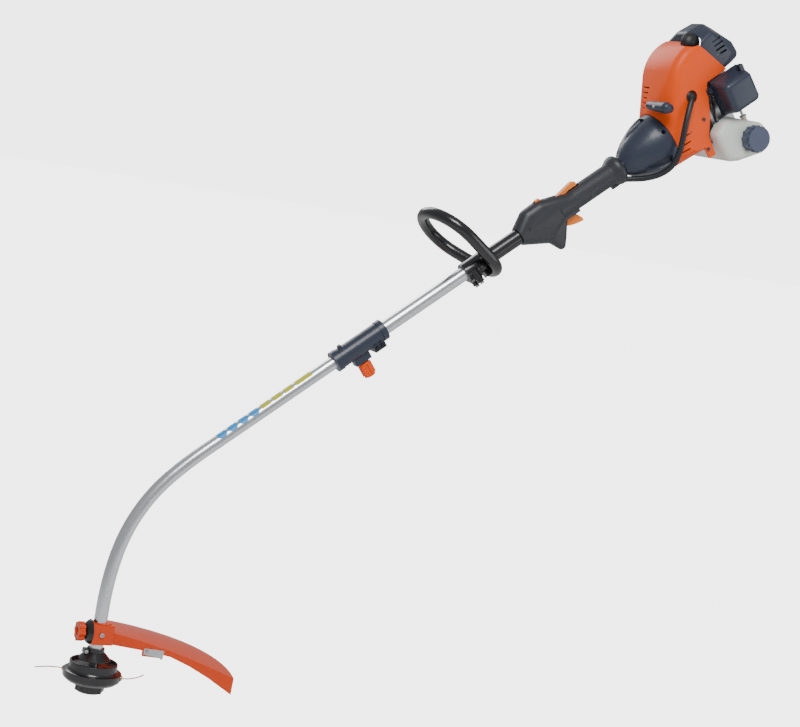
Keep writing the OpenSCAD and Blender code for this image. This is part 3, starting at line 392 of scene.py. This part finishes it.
@dataclass(frozen=True)
class Tank(Finish):
    """Translucent moulded tank with the fuel's level showing through."""

    level: float = 0.0

    def surface(self, graph: Graph) -> Surface:
        """Cloudy plastic, a warmer tone below the fuel's level, and a matt grain."""
        up = graph.along(Vector((0, 0, self.level)), Vector((0, 0, 1)))
        cloud = graph.noise(14.0, 4.0)
        fuel = (up + (cloud - 0.5) * 0.001).below(0.0, 0.002)
        colour = graph.mix(cloud, self.tone(0.96), self.tone(1.03))
        colour = graph.mix(fuel * 0.22, colour, (0.62, 0.56, 0.4))
        rough = self.roughness + (graph.noise(60.0) - 0.5) * 0.14
        return Surface(colour, rough, graph.pits(self.grain))


@dataclass(frozen=True)
class Braid(Finish):
    """Braided cord that runs along one direction."""

    origin: Vector = field(default_factory=Vector)
    run: Vector = field(default_factory=lambda: Vector((0, 0, 1)))

    def surface(self, graph: Graph) -> Surface:
        """Two crossing sets of strands, darkened in the grooves between them as painted shade."""
        side = self.run.orthogonal().normalized()
        other = self.run.cross(side)
        length = graph.along(self.origin, self.run) * 1400.0
        turn = graph.math(
            "ARCTAN2", graph.along(self.origin, side), graph.along(self.origin, other)
        )
        left = (length + turn * 4.0).sine()
        right = (length - turn * 4.0).sine()
        strands = graph.math("MAXIMUM", left, right)
        # painted shade: the grooves between the strands are darkened to 0.55 of the tone, the strand
        # tops kept near the tone
        colour = graph.mix(strands.above(-0.2, 1.2), self.tone(0.55), self.tone(1.05))
        return Surface(colour, self.roughness + (graph.noise(500.0) - 0.5) * 0.1, strands)


@dataclass(frozen=True)
class Ribbed(Finish):
    """A grip moulding: plain on the throttle housing, ribbed across on the grip tube."""

    origin: Vector = field(default_factory=Vector)
    run: Vector = field(default_factory=lambda: Vector((1, 0, 0)))
    zone: tuple[float, float] = (0.1, 0.15)
    pitch: float = 0.004

    def surface(self, graph: Graph) -> Surface:
        """Moulding grain with rounded ribs across the zone; each rib's crest is lightened as a painted
        highlight.
        """
        base = super().surface(graph)
        length = graph.along(self.origin, self.run)
        zone = length.between(self.zone[0], self.zone[1], 0.002)
        rib = (length * (2 * math.pi / self.pitch)).sine() * 0.5 + 0.5
        # painted highlight: the crest of every rib in the zone is lightened towards 1.7 of the tone,
        # as light would catch it
        crest_highlight = zone * rib.above(0.8, 0.3)
        colour = graph.mix(crest_highlight * 0.25, base.colour, self.tone(1.7))
        return Surface(colour, base.roughness + zone * 0.08, base.height * 0.06 + zone * rib)


@dataclass(frozen=True)
class PatchedTube(Metal):
    """Drawn tube with a row of plain coloured patches stuck on its upper side."""

    origin: Vector = field(default_factory=Vector)
    run: Vector = field(default_factory=lambda: Vector((1, 0, 0)))
    up: Vector = field(default_factory=lambda: Vector((0, 0, 1)))
    radius: float = 0.0127
    round_colour: Colour = (0.02, 0.3, 0.72)
    bar_colour: Colour = (0.62, 0.62, 0.02)

    def surface(self, graph: Graph) -> Surface:
        """Four round patches, then three short bars and a long one."""
        base = super().surface(graph)
        side = self.run.cross(self.up)
        length = graph.along(self.origin, self.run)
        lean = graph.math(
            "ARCTAN2", graph.along(self.origin, side), graph.along(self.origin, self.up)
        )
        arc = (lean - 0.45) * self.radius
        near = abs((length - 0.0308) % 0.025 - 0.0125)
        far = graph.math("SQRT", near * near + arc * arc)
        discs = far.below(0.0105, 0.0006) * length.between(0.0308, 0.1308, 0.0004)
        bar = abs((length - 0.1318) % 0.027 - 0.0135).below(0.0105, 0.0006)
        bars = bar * length.between(0.1318, 0.2128, 0.0004) + length.between(0.2155, 0.254, 0.0006)
        bars = bars * abs(arc).below(0.0062, 0.0005)
        shade = graph.noise(180.0, 3.0)
        colour = graph.mix(discs, base.colour, self.round_colour)
        light = graph.mix(shade, self.bar_colour, tuple(c * 0.8 for c in self.bar_colour))
        colour = graph.mix(bars, colour, light)
        cover = graph.math("MINIMUM", discs + bars, 1.0)
        rough = base.roughness + cover * (0.34 - self.roughness)
        return Surface(colour, rough, base.height * (1 - cover), 1 - cover)


@dataclass(frozen=True)
class Tinted(Metal):
    """Sheet steel that heat has coloured."""

    def surface(self, graph: Graph) -> Surface:
        """Straw, brown and blue tints in clouds."""
        base = super().surface(graph)
        tint = graph.add(
            "ShaderNodeValToRGB",
            {
                "stops": (
                    (0.25, (0.2, 0.18, 0.16)),
                    (0.5, (0.33, 0.22, 0.12)),
                    (0.75, (0.16, 0.17, 0.24)),
                )
            },
            {"Fac": graph.noise(16.0, 4.0)},
        )
        colour = graph.mix(graph.noise(40.0), base.colour, tint.outputs[0])
        return Surface(colour, base.roughness + 0.08, base.height, 0.85)


# ---- Place ----


@dataclass(frozen=True)
class BoomFrame:
    """The straight boom's own axes: x up across it, y to the filter's side, z along it."""

    lean_deg: float = 40.3
    bend_end: Vector = field(default_factory=lambda: Vector((0.148203, 0, 0.477719)))
    grip: float = 764.0
    engine: float = 1034.0

    @property
    def run(self) -> Vector:
        """Direction from the head to the engine."""
        lean = math.radians(self.lean_deg)
        return Vector((math.cos(lean), 0, math.sin(lean)))

    @property
    def up(self) -> Vector:
        """Direction across the boom, upwards."""
        lean = math.radians(self.lean_deg)
        return Vector((-math.sin(lean), 0, math.cos(lean)))

    def point(self, x: float, y: float, z: float) -> Vector:
        """A point given in millimetres on the boom's axes.

        Args:
            x: Up across the boom.
            y: Towards the filter's side.
            z: Along the boom from the end of the bends.

        Returns:
            The point in metres in the shared frame.
        """
        return self.bend_end + (self.up * x + self.run * z + Vector((0, -y, 0))) * MM

    def matrix(self, z: float) -> Matrix:
        """Turns millimetres on the boom's axes, at a station, into the shared frame."""
        columns = (self.up * MM, Vector((0, -MM, 0)), self.run * MM, self.point(0, 0, z))
        return Matrix([[c[i] for c in columns] for i in range(3)] + [[0, 0, 0, 1]])


# ---- Pieces ----


class Body(Enum):
    """The bodies that pieces ride on."""

    BOOM = "boom"
    LOWER = "lower_boom"
    HEAD = "head"
    BUMP = "bump_knob"
    STARTER = "starter_handle"


@dataclass
class Workshop:
    """Makes pieces and dresses them in the finishes."""

    frame: dict
    finishes: dict[str, Finish]
    made: dict[str, bpy.types.Material] = field(default_factory=dict)

    def material(self, slot: str) -> bpy.types.Material:
        """The material of a finish, made once."""
        if slot not in self.made:
            self.made[slot] = self.finishes[slot].make()
        return self.made[slot]

    def body_of(self, node: str) -> str:
        """The body that a CAD node is on."""
        bodies = self.frame["record"]["behaviour"]["bodies"]
        return next(name for name, nodes in bodies.items() if node in nodes)

    def slot_of(self, node: str) -> str:
        """The material slot of a CAD node."""
        return next(
            part["material_slot"] for part in self.frame["record"]["subparts"] if part["node"] == node
        )

    def dress(self, piece: bpy.types.Object, finish: str, slot: str) -> bpy.types.Object:
        """Gives a piece its material.

        Args:
            piece: The piece.
            finish: Name of the finish.
            slot: Not used.

        Returns:
            The same piece.
        """
        piece.data.materials.clear()
        piece.data.materials.append(self.material(finish))
        return piece

    def keep(self, *nodes: str) -> None:
        """Dresses CAD nodes that stay as they are."""
        for node in nodes:
            slot = self.slot_of(node)
            piece = self.frame["nodes"][node]
            piece.data.materials.clear()
            piece.data.materials.append(self.material(slot))
            LOG.info("kept %s in %s", node, slot)

    def refine(
        self, node: str, finish: str = "", edge: float = 0.0006, angle: float = 34.0
    ) -> bpy.types.Object:
        """Makes a piece from a CAD node, with welded faces, smooth curves and rounded edges.

        Args:
            node: The CAD node.
            finish: Name of the finish, or nothing for the node's own slot.
            edge: Radius of the edges in metres, or 0 for sharp ones.
            angle: Edges that turn more than this, in degrees, are edges.

        Returns:
            The piece.
        """
        turn = math.radians(angle)
        form = bmesh.new()
        form.from_mesh(self.frame["nodes"][node].data)
        bmesh.ops.remove_doubles(form, verts=form.verts, dist=0.000002)
        bmesh.ops.dissolve_degenerate(form, dist=0.000002, edges=form.edges)
        bmesh.ops.dissolve_limit(
            form, angle_limit=math.radians(0.6), verts=form.verts, edges=form.edges
        )
        for face in form.faces:
            face.smooth = True
        for line in form.edges:
            line.smooth = line.calc_face_angle(0.0) < turn
        piece = self.finished(form, f"{node}_form")
        if edge:
            rounding = piece.modifiers.new("edges", "BEVEL")
            rounding.width = edge
            rounding.segments = 2
            rounding.limit_method = "ANGLE"
            rounding.angle_limit = turn
            rounding.harden_normals = True
            rounding.use_clamp_overlap = True
        slot = self.slot_of(node)
        self.dress(piece, finish or slot, slot)
        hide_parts(node)
        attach(piece, self.body_of(node))
        LOG.info("refined %s", piece.name)
        return piece

    @staticmethod
    def finished(form: bmesh.types.BMesh, name: str) -> bpy.types.Object:
        """Puts a form into the scene as an object at the origin.

        Args:
            form: The form, freed here.
            name: The piece's name.

        Returns:
            The object.
        """
        mesh = bpy.data.meshes.new(name)
        form.to_mesh(mesh)
        form.free()
        piece = bpy.data.objects.new(name, mesh)
        bpy.context.scene.collection.objects.link(piece)
        return piece

    @staticmethod
    def smooth(form: bmesh.types.BMesh, angle: float = 34.0) -> None:
        """Shades a form smooth, but for its sharp edges."""
        for face in form.faces:
            face.smooth = True
        for line in form.edges:
            line.smooth = line.calc_face_angle(0.0) < math.radians(angle)

    def rod(
        self, name: str, route: Sequence[Vector], radius: float, sides: int = 16, order: int = 4
    ) -> bpy.types.Object:
        """A curve of one smooth line with a round section.

        Args:
            name: The piece's name.
            route: Points that guide the line, in metres.
            radius: Radius of the section in metres.
            sides: Sides of the section.
            order: Smoothness of the line.

        Returns:
            The curve object.
        """
        line = bpy.data.curves.new(name, "CURVE")
        line.dimensions = "3D"
        line.bevel_depth = radius
        line.bevel_resolution = max(1, sides // 4 - 1)
        line.use_fill_caps = True
        run = line.splines.new("POLY" if order < 3 else "NURBS")
        run.points.add(len(route) - 1)
        for knot, place in zip(run.points, route):
            knot.co = (*place, 1.0)
        if order >= 3:
            run.order_u = order
            run.use_endpoint_u = True
            run.resolution_u = 8
        piece = bpy.data.objects.new(name, line)
        bpy.context.scene.collection.objects.link(piece)
        return piece

    @staticmethod
    def as_mesh(piece: bpy.types.Object) -> bpy.types.Object:
        """Turns a curve into a mesh of the same name."""
        name = piece.name
        graph = bpy.context.evaluated_depsgraph_get()
        mesh = bpy.data.meshes.new_from_object(piece.evaluated_get(graph))
        bpy.data.objects.remove(piece)
        mesh.name = name
        made = bpy.data.objects.new(name, mesh)
        bpy.context.scene.collection.objects.link(made)
        for face in mesh.polygons:
            face.use_smooth = True
        return made


# ---- Sub-assemblies ----


@dataclass
class CuttingLines:
    """The two free ends of nylon line that stick out of the head."""

    shop: Workshop
    reach: float = 51.0
    height: float = 35.0
    turn_deg: float = -27.0
    radius: float = 1.2
    left: Sequence[tuple[float, float, float]] = (
        (0, 0, 0), (8, 0, 0), (18, 2, 0), (30, 6, 0), (42, 12, -1), (54, 20, -2),
    )
    right: Sequence[tuple[float, float, float]] = (
        (0, 0, 0), (8, 0, 0), (16, 3, 0), (25, 9, 1), (34, 17, 3), (42, 27, 6),
    )

    def build(self) -> None:
        for name, route, half in (("left", self.left, 180.0), ("right", self.right, 0.0)):
            turn = Matrix.Rotation(math.radians(half + self.turn_deg), 4, "Z")
            shift = Matrix.Translation((self.reach, 0, self.height))
            points = [(turn @ shift @ Vector(p)) * MM for p in self.eased(route)]
            line = self.shop.rod(f"line_{name}", points, self.radius * MM, sides=12, order=1)
            node = f"cutting_line_{name}"
            self.shop.dress(line, "line_nylon", "line_nylon")
            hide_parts(node)
            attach(line, Body.HEAD.value)
            2 * self.radius * MM

    @staticmethod
    def eased(route: Sequence[tuple[float, float, float]], rounds: int = 2) -> list[Vector]:
        """Cuts a route's corners, keeping its ends.

        Args:
            route: The route's points.
            rounds: How often each corner is cut.

        Returns:
            The smoother route.
        """
        points = [Vector(p) for p in route]
        for _ in range(rounds):
            cut = [points[0]]
            for a, b in zip(points, points[1:]):
                cut += [a.lerp(b, 0.25), a.lerp(b, 0.75)]
            points = [*cut, points[-1]]
        return points


@dataclass
class CuttingHead:
    """The bump-feed head with its spool, spring and adapter."""

    shop: Workshop
    coil_r: float = 12.0
    wire_r: float = 0.9
    coil_z: tuple[float, float] = (36.2, 45.8)
    turns: float = 4.0

    def build(self) -> None:
        """Finishes the head's pieces and winds its spring."""
        self.shop.refine("head_housing", edge=0.0012)
        self.shop.refine("bump_knob", edge=0.0009)
        self.shop.refine("head_adapter", edge=0.0005)
        self.shop.refine("line_eyelets", edge=0.0004)
        self.shop.refine("spool", edge=0.0004)
        self.shop.keep("head_arbor")
        self.spring()

    def spring(self) -> None:
        """Winds the bump spring by turning a ring of wire up a screw line."""
        low, high = self.coil_z
        form = bmesh.new()
        ring = bmesh.ops.create_circle(
            form, radius=self.wire_r * MM, segments=10,
            matrix=Matrix.Translation((self.coil_r * MM, 0, (low + self.wire_r) * MM))
            @ Matrix.Rotation(math.pi / 2, 4, "X"),
        )
        rise = (high - low - 2 * self.wire_r) * MM
        steps = int(28 * self.turns)
        edges = list({e for v in ring["verts"] for e in v.link_edges})
        bmesh.ops.spin(
            form, geom=[*ring["verts"], *edges], cent=(0, 0, 0), axis=(0, 0, 1),
            dvec=(0, 0, rise / steps), angle=2 * math.pi * self.turns, steps=steps, use_merge=False,
        )
        open_edges = [e for e in form.edges if e.is_boundary]
        bmesh.ops.holes_fill(form, edges=open_edges, sides=12)
        bmesh.ops.recalc_face_normals(form, faces=form.faces)
        self.shop.smooth(form)
        coil = self.shop.finished(form, "bump_spring_coil")
        self.shop.dress(coil, "spring_steel", "spring_steel")
        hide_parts("bump_spring")
        high * MM
        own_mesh(coil)
        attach(coil, Body.HEAD.value)
        LOG.info("wound %s", coil.name)


@dataclass
class Guard:
    """The debris guard with its clamp, knob and line cutter."""

    shop: Workshop

    def build(self) -> None:
        """Finishes the guard's pieces."""
        self.shop.refine("guard", edge=0.0010)
        self.shop.refine("guard_knob", edge=0.0008)
        self.shop.refine("clamp_saddle", edge=0.0008)
        self.shop.refine("lower_bolts", edge=0.0002)
        self.shop.refine("cutter_blade", edge=0.0002)


@dataclass
class Boom:
    """The two tubes, their coupler and the shafts inside."""

    shop: Workshop

    def build(self) -> None:
        """Finishes the boom's pieces."""
        self.shop.refine("lower_tube", finish="patched_tube", edge=0.0002)
        self.shop.refine("upper_tube", edge=0.0002)
        self.shop.refine("coupler_body", edge=0.0010)
        self.shop.refine("coupler_knob", edge=0.0010)
        self.shop.refine("release_button", edge=0.0006)
        self.shop.refine("spacer_sleeve", edge=0.0004)
        self.shop.keep("flexible_shaft", "drive_shaft")


@dataclass
class LoopHandle:
    """The front loop handle with its clamp cap and bolts."""

    shop: Workshop

    def build(self) -> None:
        """Finishes the handle's pieces."""
        self.shop.refine("loop_handle", edge=0.0, angle=40.0)
        self.shop.refine("loop_cap", edge=0.0010)
        self.shop.refine("loop_bolts", edge=0.0003)


@dataclass
class RearGrip:
    """The rear grip with throttle, lock and stop switch, and the cable's conduit."""

    shop: Workshop
    place: BoomFrame
    conduit_r: float = 6.0
    conduit: Sequence[tuple[float, float, float]] = (
        (-24, 4, 230), (-24, 4, 261), (-30, 12, 273), (-37, 24, 287), (-42, 38, 303),
        (-43, 53, 322), (-37, 66, 342), (-21, 74, 362), (-2, 76, 379), (20, 78, 396),
        (38, 77, 413), (53, 74, 430), (61, 68, 444), (64, 60, 452),
    )

    def build(self) -> None:
        """Finishes the grip and lays the conduit."""
        self.shop.refine("grip_left", finish="grip_moulding", edge=0.0006)
        self.shop.refine("grip_right", finish="grip_moulding", edge=0.0006)
        self.shop.refine("throttle_trigger", edge=0.0012)
        self.shop.refine("throttle_lock", edge=0.0012)
        self.shop.refine("stop_switch", edge=0.0008)
        self.shop.refine("cover_screws", finish="screw_black", edge=0.0002)
        self.sleeve()

    def sleeve(self) -> None:
        """Lays the conduit on one smooth line from the flange to the shroud."""
        points = [
            self.place.point(x, y, z + self.place.grip)
            for x, y, z in CuttingLines.eased(self.conduit)
        ]
        tube = self.shop.rod("conduit_sleeve", points, self.conduit_r * MM, sides=24, order=1)
        tube = self.shop.as_mesh(tube)
        self.shop.dress(tube, "cable_rubber", "cable_rubber")
        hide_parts("throttle_conduit")
        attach(tube, Body.BOOM.value)
        LOG.info("laid %s", tube.name)


@dataclass
class EngineCovers:
    """Clutch housing, fan shroud and top cover, with the plug's boot and the conduit's grommet."""

    shop: Workshop
    place: BoomFrame
    boot: tuple[float, float, float] = (150.0, 27.0, 241.0)
    grommet: tuple[float, float, float] = (63.0, 56.5, 177.0)

    def build(self) -> None:
        """Finishes the covers and turns the rubber pieces in their openings."""
        self.shop.refine("clutch_housing", edge=0.0012)
        self.shop.refine("fan_shroud", edge=0.0010, angle=30.0)
        self.shop.refine("top_cover", edge=0.0010, angle=30.0)
        self.shop.refine("plug_cap", edge=0.0, angle=50.0)
        self.turned(
            "plug_boot", "boot_rubber", "plug_cap", self.boot,
            ((0, 20), (7, 20), (9, 18.5), (11, 19), (14, 17), (18, 12), (20, 6), (20.5, 0)),
        )
        self.turned(
            "conduit_grommet", "cable_rubber", "throttle_conduit", self.grommet,
            ((0, 12.4), (2, 12.8), (5, 12.4), (7, 10.5), (9, 8), (13, 6.6), (14, 5.6)),
        )

    def turned(
        self, name: str, finish: str, node: str, seat: tuple[float, float, float],
        profile: Sequence[tuple[float, float]],
    ) -> None:
        """Turns a rubber piece whose axis points out of the machine's near side.

        Args:
            name: The piece's name.
            finish: Its finish.
            node: The node that it belongs to.
            seat: Its foot in the engine's axes, in millimetres.
            profile: Height and radius of each of its rings.
        """
        x, y, z = seat
        form = bmesh.new()
        ring = [form.verts.new((r * MM, 0, h * MM)) for h, r in profile]
        for lower, upper in zip(ring, ring[1:]):
            form.edges.new((lower, upper))
        bmesh.ops.spin(
            form, geom=[*form.verts, *form.edges], cent=(0, 0, 0), axis=(0, 0, 1),
            angle=2 * math.pi, steps=32, use_merge=True, use_duplicate=False,
        )
        bmesh.ops.remove_doubles(form, verts=form.verts, dist=0.00001)
        bmesh.ops.holes_fill(form, edges=[e for e in form.edges if e.is_boundary], sides=40)
        bmesh.ops.recalc_face_normals(form, faces=form.faces)
        outward = Matrix.Rotation(math.pi / 2, 4, "X")
        foot = Matrix.Translation(self.place.point(x, y, z + self.place.engine))
        form.transform(foot @ outward)
        self.shop.smooth(form, 50.0)
        piece = self.shop.finished(form, name)
        self.shop.dress(piece, finish, finish)
        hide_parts(node)
        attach(piece, Body.BOOM.value)
        LOG.info("turned %s", piece.name)


@dataclass
class Starter:
    """The recoil starter's handle, rope and pulley."""

    shop: Workshop
    place: BoomFrame
    seat: tuple[float, float, float] = (78.0, 52.0, 108.0)
    tilt_deg: float = 140.0
    rope_r: float = 2.1
    knot_r: float = 4.2
    stub: tuple[float, float] = (-24.0, 13.5)

    def axis(self) -> Vector:
        """Direction in which the handle is pulled."""
        turn = math.radians(self.tilt_deg)
        return self.place.up * math.sin(turn) + self.place.run * math.cos(turn)

    def build(self) -> None:
        """Finishes the handle and lays the rope."""
        self.shop.refine("starter_handle", edge=0.0008, angle=40.0)
        self.shop.refine("starter_pulley", edge=0.0005)
        x, y, z = self.seat
        seat = self.place.point(x, y, z + self.place.engine)
        run = self.axis()
        low, high = self.stub
        points = [seat + run * (low + (high - low) * k / 40) * MM for k in range(41)]
        rope = self.shop.as_mesh(self.shop.rod("pull_rope", points, self.rope_r * MM, order=1))
        self.shop.dress(rope, "rope_cord", "rope_cord")
        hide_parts("starter_rope")
        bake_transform(rope)
        form = bmesh.new()
        bmesh.ops.create_uvsphere(
            form, u_segments=20, v_segments=12, radius=self.knot_r * MM,
            matrix=Matrix.Translation(seat + run * (self.stub[1] + 0.5) * MM),
        )
        self.shop.smooth(form, 60.0)
        knot = self.shop.finished(form, "pull_rope_knot")
        self.shop.dress(knot, "rope_cord", "rope_cord")
        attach(knot, Body.STARTER.value)
        LOG.info("laid %s and %s", rope.name, knot.name)


@dataclass
class AirFilter:
    """Filter base, element, cover and choke lever."""

    shop: Workshop

    def build(self) -> None:
        """Finishes the filter's pieces."""
        self.shop.refine("filter_cover", edge=0.0010, angle=30.0)
        self.shop.refine("filter_base", edge=0.0006)
        self.shop.refine("choke_lever", edge=0.0006)
        self.shop.keep("filter_element")


@dataclass
class FuelTank:
    """The fuel tank with its cap and line."""

    shop: Workshop

    def build(self) -> None:
        """Finishes the tank's pieces."""
        self.shop.refine("fuel_tank", edge=0.0012, angle=30.0)
        self.shop.refine("fuel_cap", edge=0.0010)
        self.shop.refine("fuel_line", edge=0.0002)


@dataclass
class EngineBlock:
    """The engine and clutch behind the covers."""

    shop: Workshop

    def build(self) -> None:
        """Finishes the castings and dresses the inner pieces."""
        for node in ("crankcase", "engine_cylinder", "muffler", "carburettor"):
            self.shop.refine(node, edge=0.0005)
        self.shop.keep(
            "spark_plug", "ignition_coil", "clutch_drum", "clutch_hub", "clutch_shoe_a",
            "clutch_shoe_b", "crankshaft", "flywheel", "piston", "connecting_rod",
        )


@dataclass
class Studio:
    """Pale floor, soft light and the camera."""

    eye: Vector = field(default_factory=lambda: Vector((-1.1597, -3.3654, 1.0764)))
    look: Vector = field(default_factory=lambda: Vector((0.44454, 0.88990, -0.10239)))
    roll_deg: float = 10.2
    lens: float = 86.67
    floor_z: float = -0.35
    dome: float = 0.42
    backdrop: float = 5.0
    bleach: float = 0.85

    def camera(self) -> None:
        """Sets the camera."""
        ahead = self.look.normalized()
        level = ahead.cross(Vector((0, 0, 1))).normalized()
        above = level.cross(ahead)
        roll = math.radians(self.roll_deg)
        right = level * math.cos(roll) + above * math.sin(roll)
        up = above * math.cos(roll) - level * math.sin(roll)
        lens = bpy.data.cameras.new("camera")
        lens.lens = self.lens
        lens.sensor_width = 36.0
        lens.clip_end = 60.0
        camera = bpy.data.objects.new("camera", lens)
        turn = Matrix((right, up, -ahead)).transposed().to_4x4()
        camera.matrix_world = Matrix.Translation(self.eye) @ turn
        bpy.context.scene.collection.objects.link(camera)
        bpy.context.scene.camera = camera

    def floor(self) -> None:
        """Lays the floor."""
        form = bmesh.new()
        bmesh.ops.create_grid(
            form, x_segments=8, y_segments=8, size=40.0,
            matrix=Matrix.Translation((0, 0, self.floor_z)),
        )
        floor = Workshop.finished(form, "floor")
        graph = Graph("floor_paper")
        cloud = graph.noise(0.6, 2.0)
        tone = graph.mix(cloud, (0.80, 0.80, 0.80), (0.82, 0.82, 0.82))
        paper = graph.add("ShaderNodeBsdfDiffuse", {}, {"Color": tone})
        lit = graph.add(
            "ShaderNodeEmission", {}, {"Color": (1, 1, 1, 1), "Strength": self.backdrop}
        )
        seen = graph.add("ShaderNodeLightPath").outputs["Is Camera Ray"]
        share = Signal(graph, seen) * self.bleach
        glow = graph.add(
            "ShaderNodeMixShader", {}, {0: share, 1: paper.outputs[0], 2: lit.outputs[0]}
        )
        graph.add("ShaderNodeOutputMaterial", {}, {"Surface": glow.outputs[0]})
        floor.data.materials.append(graph.material)

    def light(
        self, name: str, place: Vector, target: Vector, size: float, power: float,
        tint: Colour = (1, 1, 1),
    ) -> None:
        """Adds a soft square light.

        Args:
            name: Its name.
            place: Where it stands.
            target: What it points at.
            size: Its side in metres.
            power: Its power in watts.
            tint: Its colour.
        """
        data = bpy.data.lights.new(name, "AREA")
        data.size = size
        data.energy = power
        data.color = tint
        lamp = bpy.data.objects.new(name, data)
        lamp.location = place
        lamp.rotation_euler = (target - place).to_track_quat("-Z", "Y").to_euler()
        bpy.context.scene.collection.objects.link(lamp)

    def build(self) -> None:
        """Sets the whole stage."""
        self.camera()
        self.floor()
        middle = Vector((0.55, 0, 0.7))
        self.light("key", Vector((-0.6, -2.4, 3.4)), middle, 1.6, 105)
        self.light("fill", Vector((3.4, -2.6, 1.4)), middle, 2.4, 32)
        self.light("back", Vector((0.2, 3.0, 2.8)), middle, 2.0, 55)
        world = bpy.data.worlds.new("studio")
        bpy.context.scene.world = world
        world.use_nodes = True
        nodes, links = world.node_tree.nodes, world.node_tree.links
        dome = nodes["Background"]
        dome.inputs["Color"].default_value = (0.97, 0.98, 1.0, 1.0)
        dome.inputs["Strength"].default_value = self.dome
        wall = nodes.new("ShaderNodeBackground")
        wall.inputs["Strength"].default_value = self.backdrop
        path = nodes.new("ShaderNodeLightPath")
        join = nodes.new("ShaderNodeMixShader")
        links.new(path.outputs["Is Camera Ray"], join.inputs[0])
        links.new(dome.outputs[0], join.inputs[1])
        links.new(wall.outputs[0], join.inputs[2])
        links.new(join.outputs[0], nodes["World Output"].inputs["Surface"])


def finishes(place: BoomFrame) -> dict[str, Finish]:
    """Every finish of the machine.

    Args:
        place: The boom's axes, for patterns that run along it.

    Returns:
        The finishes by name; the names of the record's slots are among them.
    """
    along = Vector((4, 60, 4))
    grip = place.point(0, 0, place.grip)
    made = (
        Metal("tube_aluminium", (0.78, 0.8, 0.83), 0.27, grain=1200, marks=along, relief=0.00001),
        PatchedTube("patched_tube", (0.78, 0.8, 0.83), 0.27, grain=1200, marks=along, relief=0.00001,
                    origin=place.bend_end, run=place.run, up=place.up),
        Finish("dark_plastic", (0.030, 0.039, 0.062), 0.36, coat=0.1, specular=0.4),
        Finish("black_plastic", (0.010, 0.010, 0.012), 0.26, coat=0.35),
        Finish("loop_plastic", (0.009, 0.009, 0.011), 0.24, coat=0.4, relief=0.00003),
        Finish("shroud_plastic", (0.90, 0.088, 0.003), 0.42, coat=0.05, specular=0.22, variation=0.05),
        Finish("guard_plastic", (0.74, 0.058, 0.004), 0.38, coat=0.1, specular=0.3, variation=0.05),
        Finish("lever_plastic", (0.95, 0.22, 0.012), 0.38, coat=0.05, specular=0.3, variation=0.05),
        Ribbed("grip_moulding", (0.026, 0.029, 0.036), 0.42, relief=0.0005,
               origin=grip, run=place.run, zone=(0.142, 0.238)),
        Metal("screw_steel", (0.5, 0.5, 0.52), 0.3, marks=Vector((8, 8, 8))),
        Metal("screw_black", (0.07, 0.07, 0.075), 0.34, marks=Vector((8, 8, 8))),
        Metal("shaft_steel", (0.45, 0.46, 0.48), 0.25, marks=Vector((10, 60, 10))),
        Metal("blade_steel", (0.6, 0.61, 0.62), 0.28, marks=Vector((60, 10, 10))),
        Metal("spring_steel", (0.5, 0.5, 0.52), 0.3, marks=Vector((8, 8, 40))),
        Cast("cast_aluminium", (0.56, 0.57, 0.58), 0.45, grain=900, relief=0.00012),
        Tinted("muffler_steel", (0.3, 0.27, 0.24), 0.38, marks=Vector((10, 40, 10))),
        Cast("shoe_iron", (0.2, 0.16, 0.12), 0.6, grain=1400, relief=0.0001),
        Finish("cable_rubber", (0.014, 0.016, 0.02), 0.42, relief=0.0001),
        Finish("boot_rubber", (0.012, 0.012, 0.014), 0.48, relief=0.0001),
        Felt("filter_felt", (0.12, 0.12, 0.11), 0.95, relief=0.0006),
        Tank("tank_plastic", (0.80, 0.785, 0.72), 0.36, relief=0.00005, glow=0.35, level=0.0),
        Finish("cap_plastic", (0.052, 0.070, 0.125), 0.36, coat=0.1, specular=0.4),
        Finish("clear_hose", (0.72, 0.7, 0.58), 0.2, glow=0.5),
        Metal("eyelet_brass", (0.72, 0.5, 0.25), 0.3, marks=Vector((8, 8, 8))),
        Finish("line_nylon", (0.42, 0.16, 0.12), 0.3, relief=0.00002),
        Finish("spool_plastic", (0.6, 0.16, 0.03), 0.45),
        Finish("button_plastic", (0.05, 0.055, 0.06), 0.45),
        Finish("pulley_plastic", (0.03, 0.03, 0.032), 0.5),
        Braid("rope_cord", (0.62, 0.61, 0.57), 0.85, relief=0.0004, run=place.run),
    )
    return {finish.name: finish for finish in made}


def main() -> None:
    """Builds the machine round its frame."""
    logging.basicConfig(level=logging.INFO, format="%(name)s: %(message)s")
    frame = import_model()
    Studio().build()
    place = BoomFrame()
    shop = Workshop(frame, finishes(place))
    assemblies: Iterable = (
        CuttingLines(shop),
        CuttingHead(shop),
        Guard(shop),
        Boom(shop),
        LoopHandle(shop),
        RearGrip(shop, place),
        EngineCovers(shop, place),
        Starter(shop, place),
        AirFilter(shop),
        FuelTank(shop),
        EngineBlock(shop),
    )
    for assembly in assemblies:
        assembly.build()
        LOG.info("built %s", type(assembly).__name__)
    bpy.context.view_layer.update()


if __name__ == "__main__":
    main()
